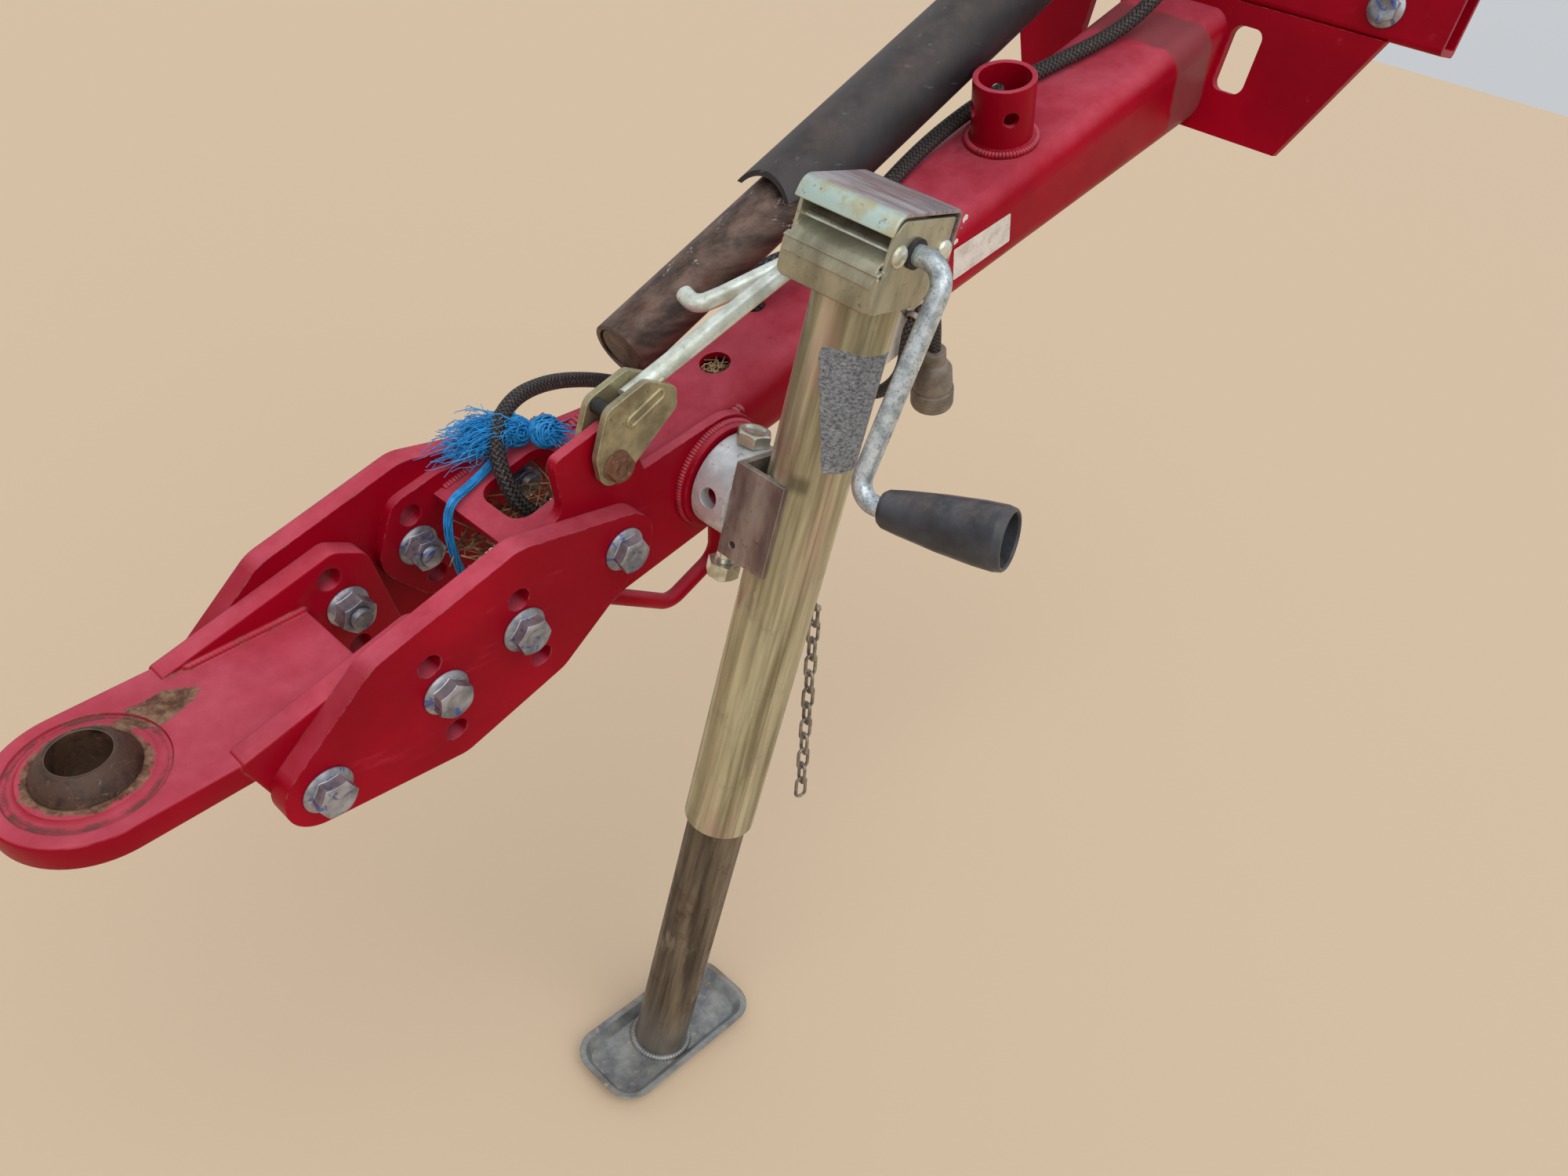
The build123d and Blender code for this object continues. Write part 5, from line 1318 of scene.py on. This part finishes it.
class DRAWBAR_OT_finishes(bpy.types.Operator):
    """Gives every CAD node that stays its finish"""

    bl_idname = "drawbar.finishes"
    bl_label = "Finishes"

    def execute(self, context):
        for name, nodes in (
            ("paint", ("crossmember", "storage_post", "jack_stub", "safety_loop")),
            ("panel_paint", ("rear_panel",)),
            ("beam_paint", ("beam",)),
            ("plate_paint", ("left_cheek", "right_cheek", "front_plate", "left_strap", "right_strap")),
            ("ball", ("eye_ball",)),
            ("sleeve_zinc", ("jack_sleeve",)),
            ("channel_zinc", ("jack_channel",)),
            ("jack_tube", ("outer_tube",)),
            ("black", ("crank_bush", "rest_stop")),
            ("crank_zinc", ("crank",)),
            ("grip", ("crank_grip",)),
            ("leg", ("inner_tube",)),
            ("foot", ("foot_pan",)),
            ("chain_zinc", ("chain",)),
            ("olive_zinc_plate", ("link_plates",)),
            ("rod_zinc", ("rest_rod",)),
            ("shield", ("driveline_shield",)),
            ("driveline", ("driveline_tube",)),
            ("yoke", ("driveline_yoke",)),
        ):
            for node in nodes:
                dress(node, name)
        return {"FINISHED"}


class DRAWBAR_OT_labels(bpy.types.Operator):
    """Sticks two blank labels and a few paint chips on the beam's left side"""

    bl_idname = "drawbar.labels"
    bl_label = "Blank labels"

    def sheet(self, corners, thick=0.35):
        """A thin sheet on the beam's side, from its corners in u and w."""
        fresh()
        bpy.ops.mesh.primitive_circle_add(vertices=len(corners), radius=0.01, fill_type="NGON")
        piece = bpy.context.object
        for vertex, (u, w) in zip(piece.data.vertices, corners):
            vertex.co = on_beam(u, beam_half(u) + 0.1, w)
        bpy.ops.object.mode_set(mode="EDIT")
        bpy.ops.mesh.select_all(action="SELECT")
        bpy.ops.mesh.bevel(offset=0.0015, segments=3, affect="VERTICES")
        bpy.ops.mesh.extrude_region_move(TRANSFORM_OT_translate={"value": (0, thick * MM, 0)})
        bpy.ops.mesh.select_all(action="SELECT")
        bpy.ops.mesh.normals_make_consistent(inside=False)
        bpy.ops.object.mode_set(mode="OBJECT")
        return piece

    def execute(self, context):
        sheets = [
            self.sheet([(-240, -16), (-322, -25), (-323, -55), (-240, -48)]),
            self.sheet([(-150, -31), (-211, -46), (-205, -82), (-144, -80)]),
        ]
        chip = ((0, 0.8), (-0.7, 0.3), (-0.5, -0.6), (0.1, -0.3), (0.6, -0.8), (0.9, 0.2))
        for u, w, size in ((-255, 7.5, 5), (-243, -9, 4), (-250, 1, 1.6)):
            sheets.append(self.sheet([(u + size * x, w + size * y) for x, y in chip], 0.2))
        built("blank_labels", sheets, "label", "drawbar", "paint", smooth=30)
        return {"FINISHED"}


class DRAWBAR_OT_straw(bpy.types.Operator):
    """Scatters straw in the cut-out and chaff in the beam's round hole"""

    bl_idname = "drawbar.straw"
    bl_label = "Straw and chaff"

    def execute(self, context):
        dice = random.Random(12)
        noise.seed_set(12)
        lines = []
        # For the cut-out, then the round hole: how many bits, where in u, v and w, how steep, half their length,
        # the points along them and how far these bend
        for count, us, vs, ws, steep, halves, shares, bent in (
            (sizes().straws, (160, 240), (-30, 34), (-30, -6), 0.25, (0.012, 0.034), (-1, -0.4, 0.3, 1), 0.004),
            (46, (-9, 9), (-9, 9), (-9, -3), 0.2, (0.002, 0.006), (-1, 0, 1), 0),
        ):
            for n in range(count):
                centre = on_beam(dice.uniform(*us), dice.uniform(*vs), dice.uniform(*ws))
                way = DOWN * dice.uniform(-1, 1) + LEFT * dice.uniform(-1, 1) + UP * dice.uniform(-steep, steep)
                reach = way.normalized() * dice.uniform(*halves)
                points = [centre + reach * share for share in shares]
                lines.append([point + wander(point, 30, bent, n) for point in points])
        straw = strands("straw_and_chaff", lines, 0.0015, 0.8)
        fit(straw, "straw", "drawbar", "rust")
        return {"FINISHED"}


# The camera as fitted to the photo: its place, its heading, pitch and roll in degrees, its lens in millimetres
CAMERA_PLACE = (1.3494, 0.5525, -0.0017)
CAMERA_TURN = (-147.3, 31.32, 15.06)
CAMERA_LENS = 26.95
SUN_FROM, SUN_STRENGTH = Vector((0.55, 0.75, 1.0)), 1.35
SKY_STRENGTH = (0.60, 0.74)  # low and high in the sky


class DRAWBAR_OT_stage(bpy.types.Operator):
    """Sets up the pale floor, the soft sky with its high sun, and the camera"""

    bl_idname = "drawbar.stage"
    bl_label = "Floor, light and camera"

    def execute(self, context):
        fresh()
        bpy.ops.mesh.primitive_plane_add(size=60, location=(0, 0, GROUND))
        floor = settle(bpy.context.object, "floor", smooth=0)
        ground = Finish("pale_floor", roughness=0.95, specular=0.1)
        floor.data.materials.append(ground.done(tuple(colours().sand)))
        world = bpy.data.worlds.new("soft_sky")
        bpy.context.scene.world = world
        world.use_nodes = True
        tree = world.node_tree
        sky = tree.nodes["Background"]
        place = tree.nodes.new("ShaderNodeTexCoord")
        height = tree.nodes.new("ShaderNodeSeparateXYZ")
        ramp = tree.nodes.new("ShaderNodeMapRange")
        ramp.inputs["From Min"].default_value = -0.1
        ramp.inputs["From Max"].default_value = 1.0
        ramp.inputs["To Min"].default_value, ramp.inputs["To Max"].default_value = SKY_STRENGTH
        tree.links.new(place.outputs["Generated"], height.inputs[0])
        tree.links.new(height.outputs[2], ramp.inputs["Value"])
        tree.links.new(ramp.outputs[0], sky.inputs["Strength"])
        sky.inputs["Color"].default_value = (0.93, 0.96, 1.0, 1)
        sun = bpy.data.lights.new("high_sun", "SUN")
        sun.energy = SUN_STRENGTH
        sun.angle = math.radians(75)
        sun.color = (1.0, 0.97, 0.92)
        lamp = bpy.data.objects.new("high_sun", sun)
        lamp.rotation_euler = SUN_FROM.to_track_quat("Z", "Y").to_euler()
        context.scene.collection.objects.link(lamp)
        heading, pitch, roll = (math.radians(degrees) for degrees in CAMERA_TURN)
        look = Vector((math.cos(heading) * math.cos(pitch), math.sin(heading) * math.cos(pitch), -math.sin(pitch)))
        level = look.cross(SKY).normalized()
        upright = level.cross(look)
        right = level * math.cos(roll) + upright * math.sin(roll)
        rise = upright * math.cos(roll) - level * math.sin(roll)
        lens = bpy.data.cameras.new("photo_camera")
        lens.lens = CAMERA_LENS
        lens.sensor_width = 36
        lens.clip_start = 0.01
        lens.clip_end = 200
        camera = bpy.data.objects.new("photo_camera", lens)
        camera.matrix_world = Matrix.Translation(CAMERA_PLACE) @ Matrix(
            (right, rise, -look)).transposed().to_4x4()
        context.scene.collection.objects.link(camera)
        context.scene.camera = camera
        context.scene.view_settings.view_transform = "Standard"
        return {"FINISHED"}


OPERATORS = (
    DRAWBAR_OT_stage, DRAWBAR_OT_leads, DRAWBAR_OT_twine, DRAWBAR_OT_finishes, DRAWBAR_OT_fasteners,
    DRAWBAR_OT_head, DRAWBAR_OT_eye, DRAWBAR_OT_rest, DRAWBAR_OT_welds, DRAWBAR_OT_labels, DRAWBAR_OT_straw,
)


class DRAWBAR_PT_panel(bpy.types.Panel):
    """Lists the drawbar's pieces and settings"""

    bl_label = "Baler drawbar"
    bl_idname = "DRAWBAR_PT_panel"
    bl_space_type = "VIEW_3D"
    bl_region_type = "UI"
    bl_category = "Drawbar"

    def draw(self, context):
        for group in (context.scene.drawbar_sizes, context.scene.drawbar_colours):
            box = self.layout.box()
            for name in group.__annotations__:
                box.prop(group, name)
        for operator in OPERATORS:
            self.layout.operator(operator.bl_idname)


CLASSES = (DrawbarSizes, DrawbarColours, *OPERATORS, DRAWBAR_PT_panel)


def register():
    for cls in CLASSES:
        bpy.utils.register_class(cls)
    bpy.types.Scene.drawbar_sizes = PointerProperty(type=DrawbarSizes)
    bpy.types.Scene.drawbar_colours = PointerProperty(type=DrawbarColours)


def unregister():
    del bpy.types.Scene.drawbar_colours
    del bpy.types.Scene.drawbar_sizes
    for cls in reversed(CLASSES):
        bpy.utils.unregister_class(cls)


def main():
    register()
    for operator in OPERATORS:
        group, name = operator.bl_idname.split(".")
        getattr(getattr(bpy.ops, group), name)()


if __name__ == "__main__":
    main()
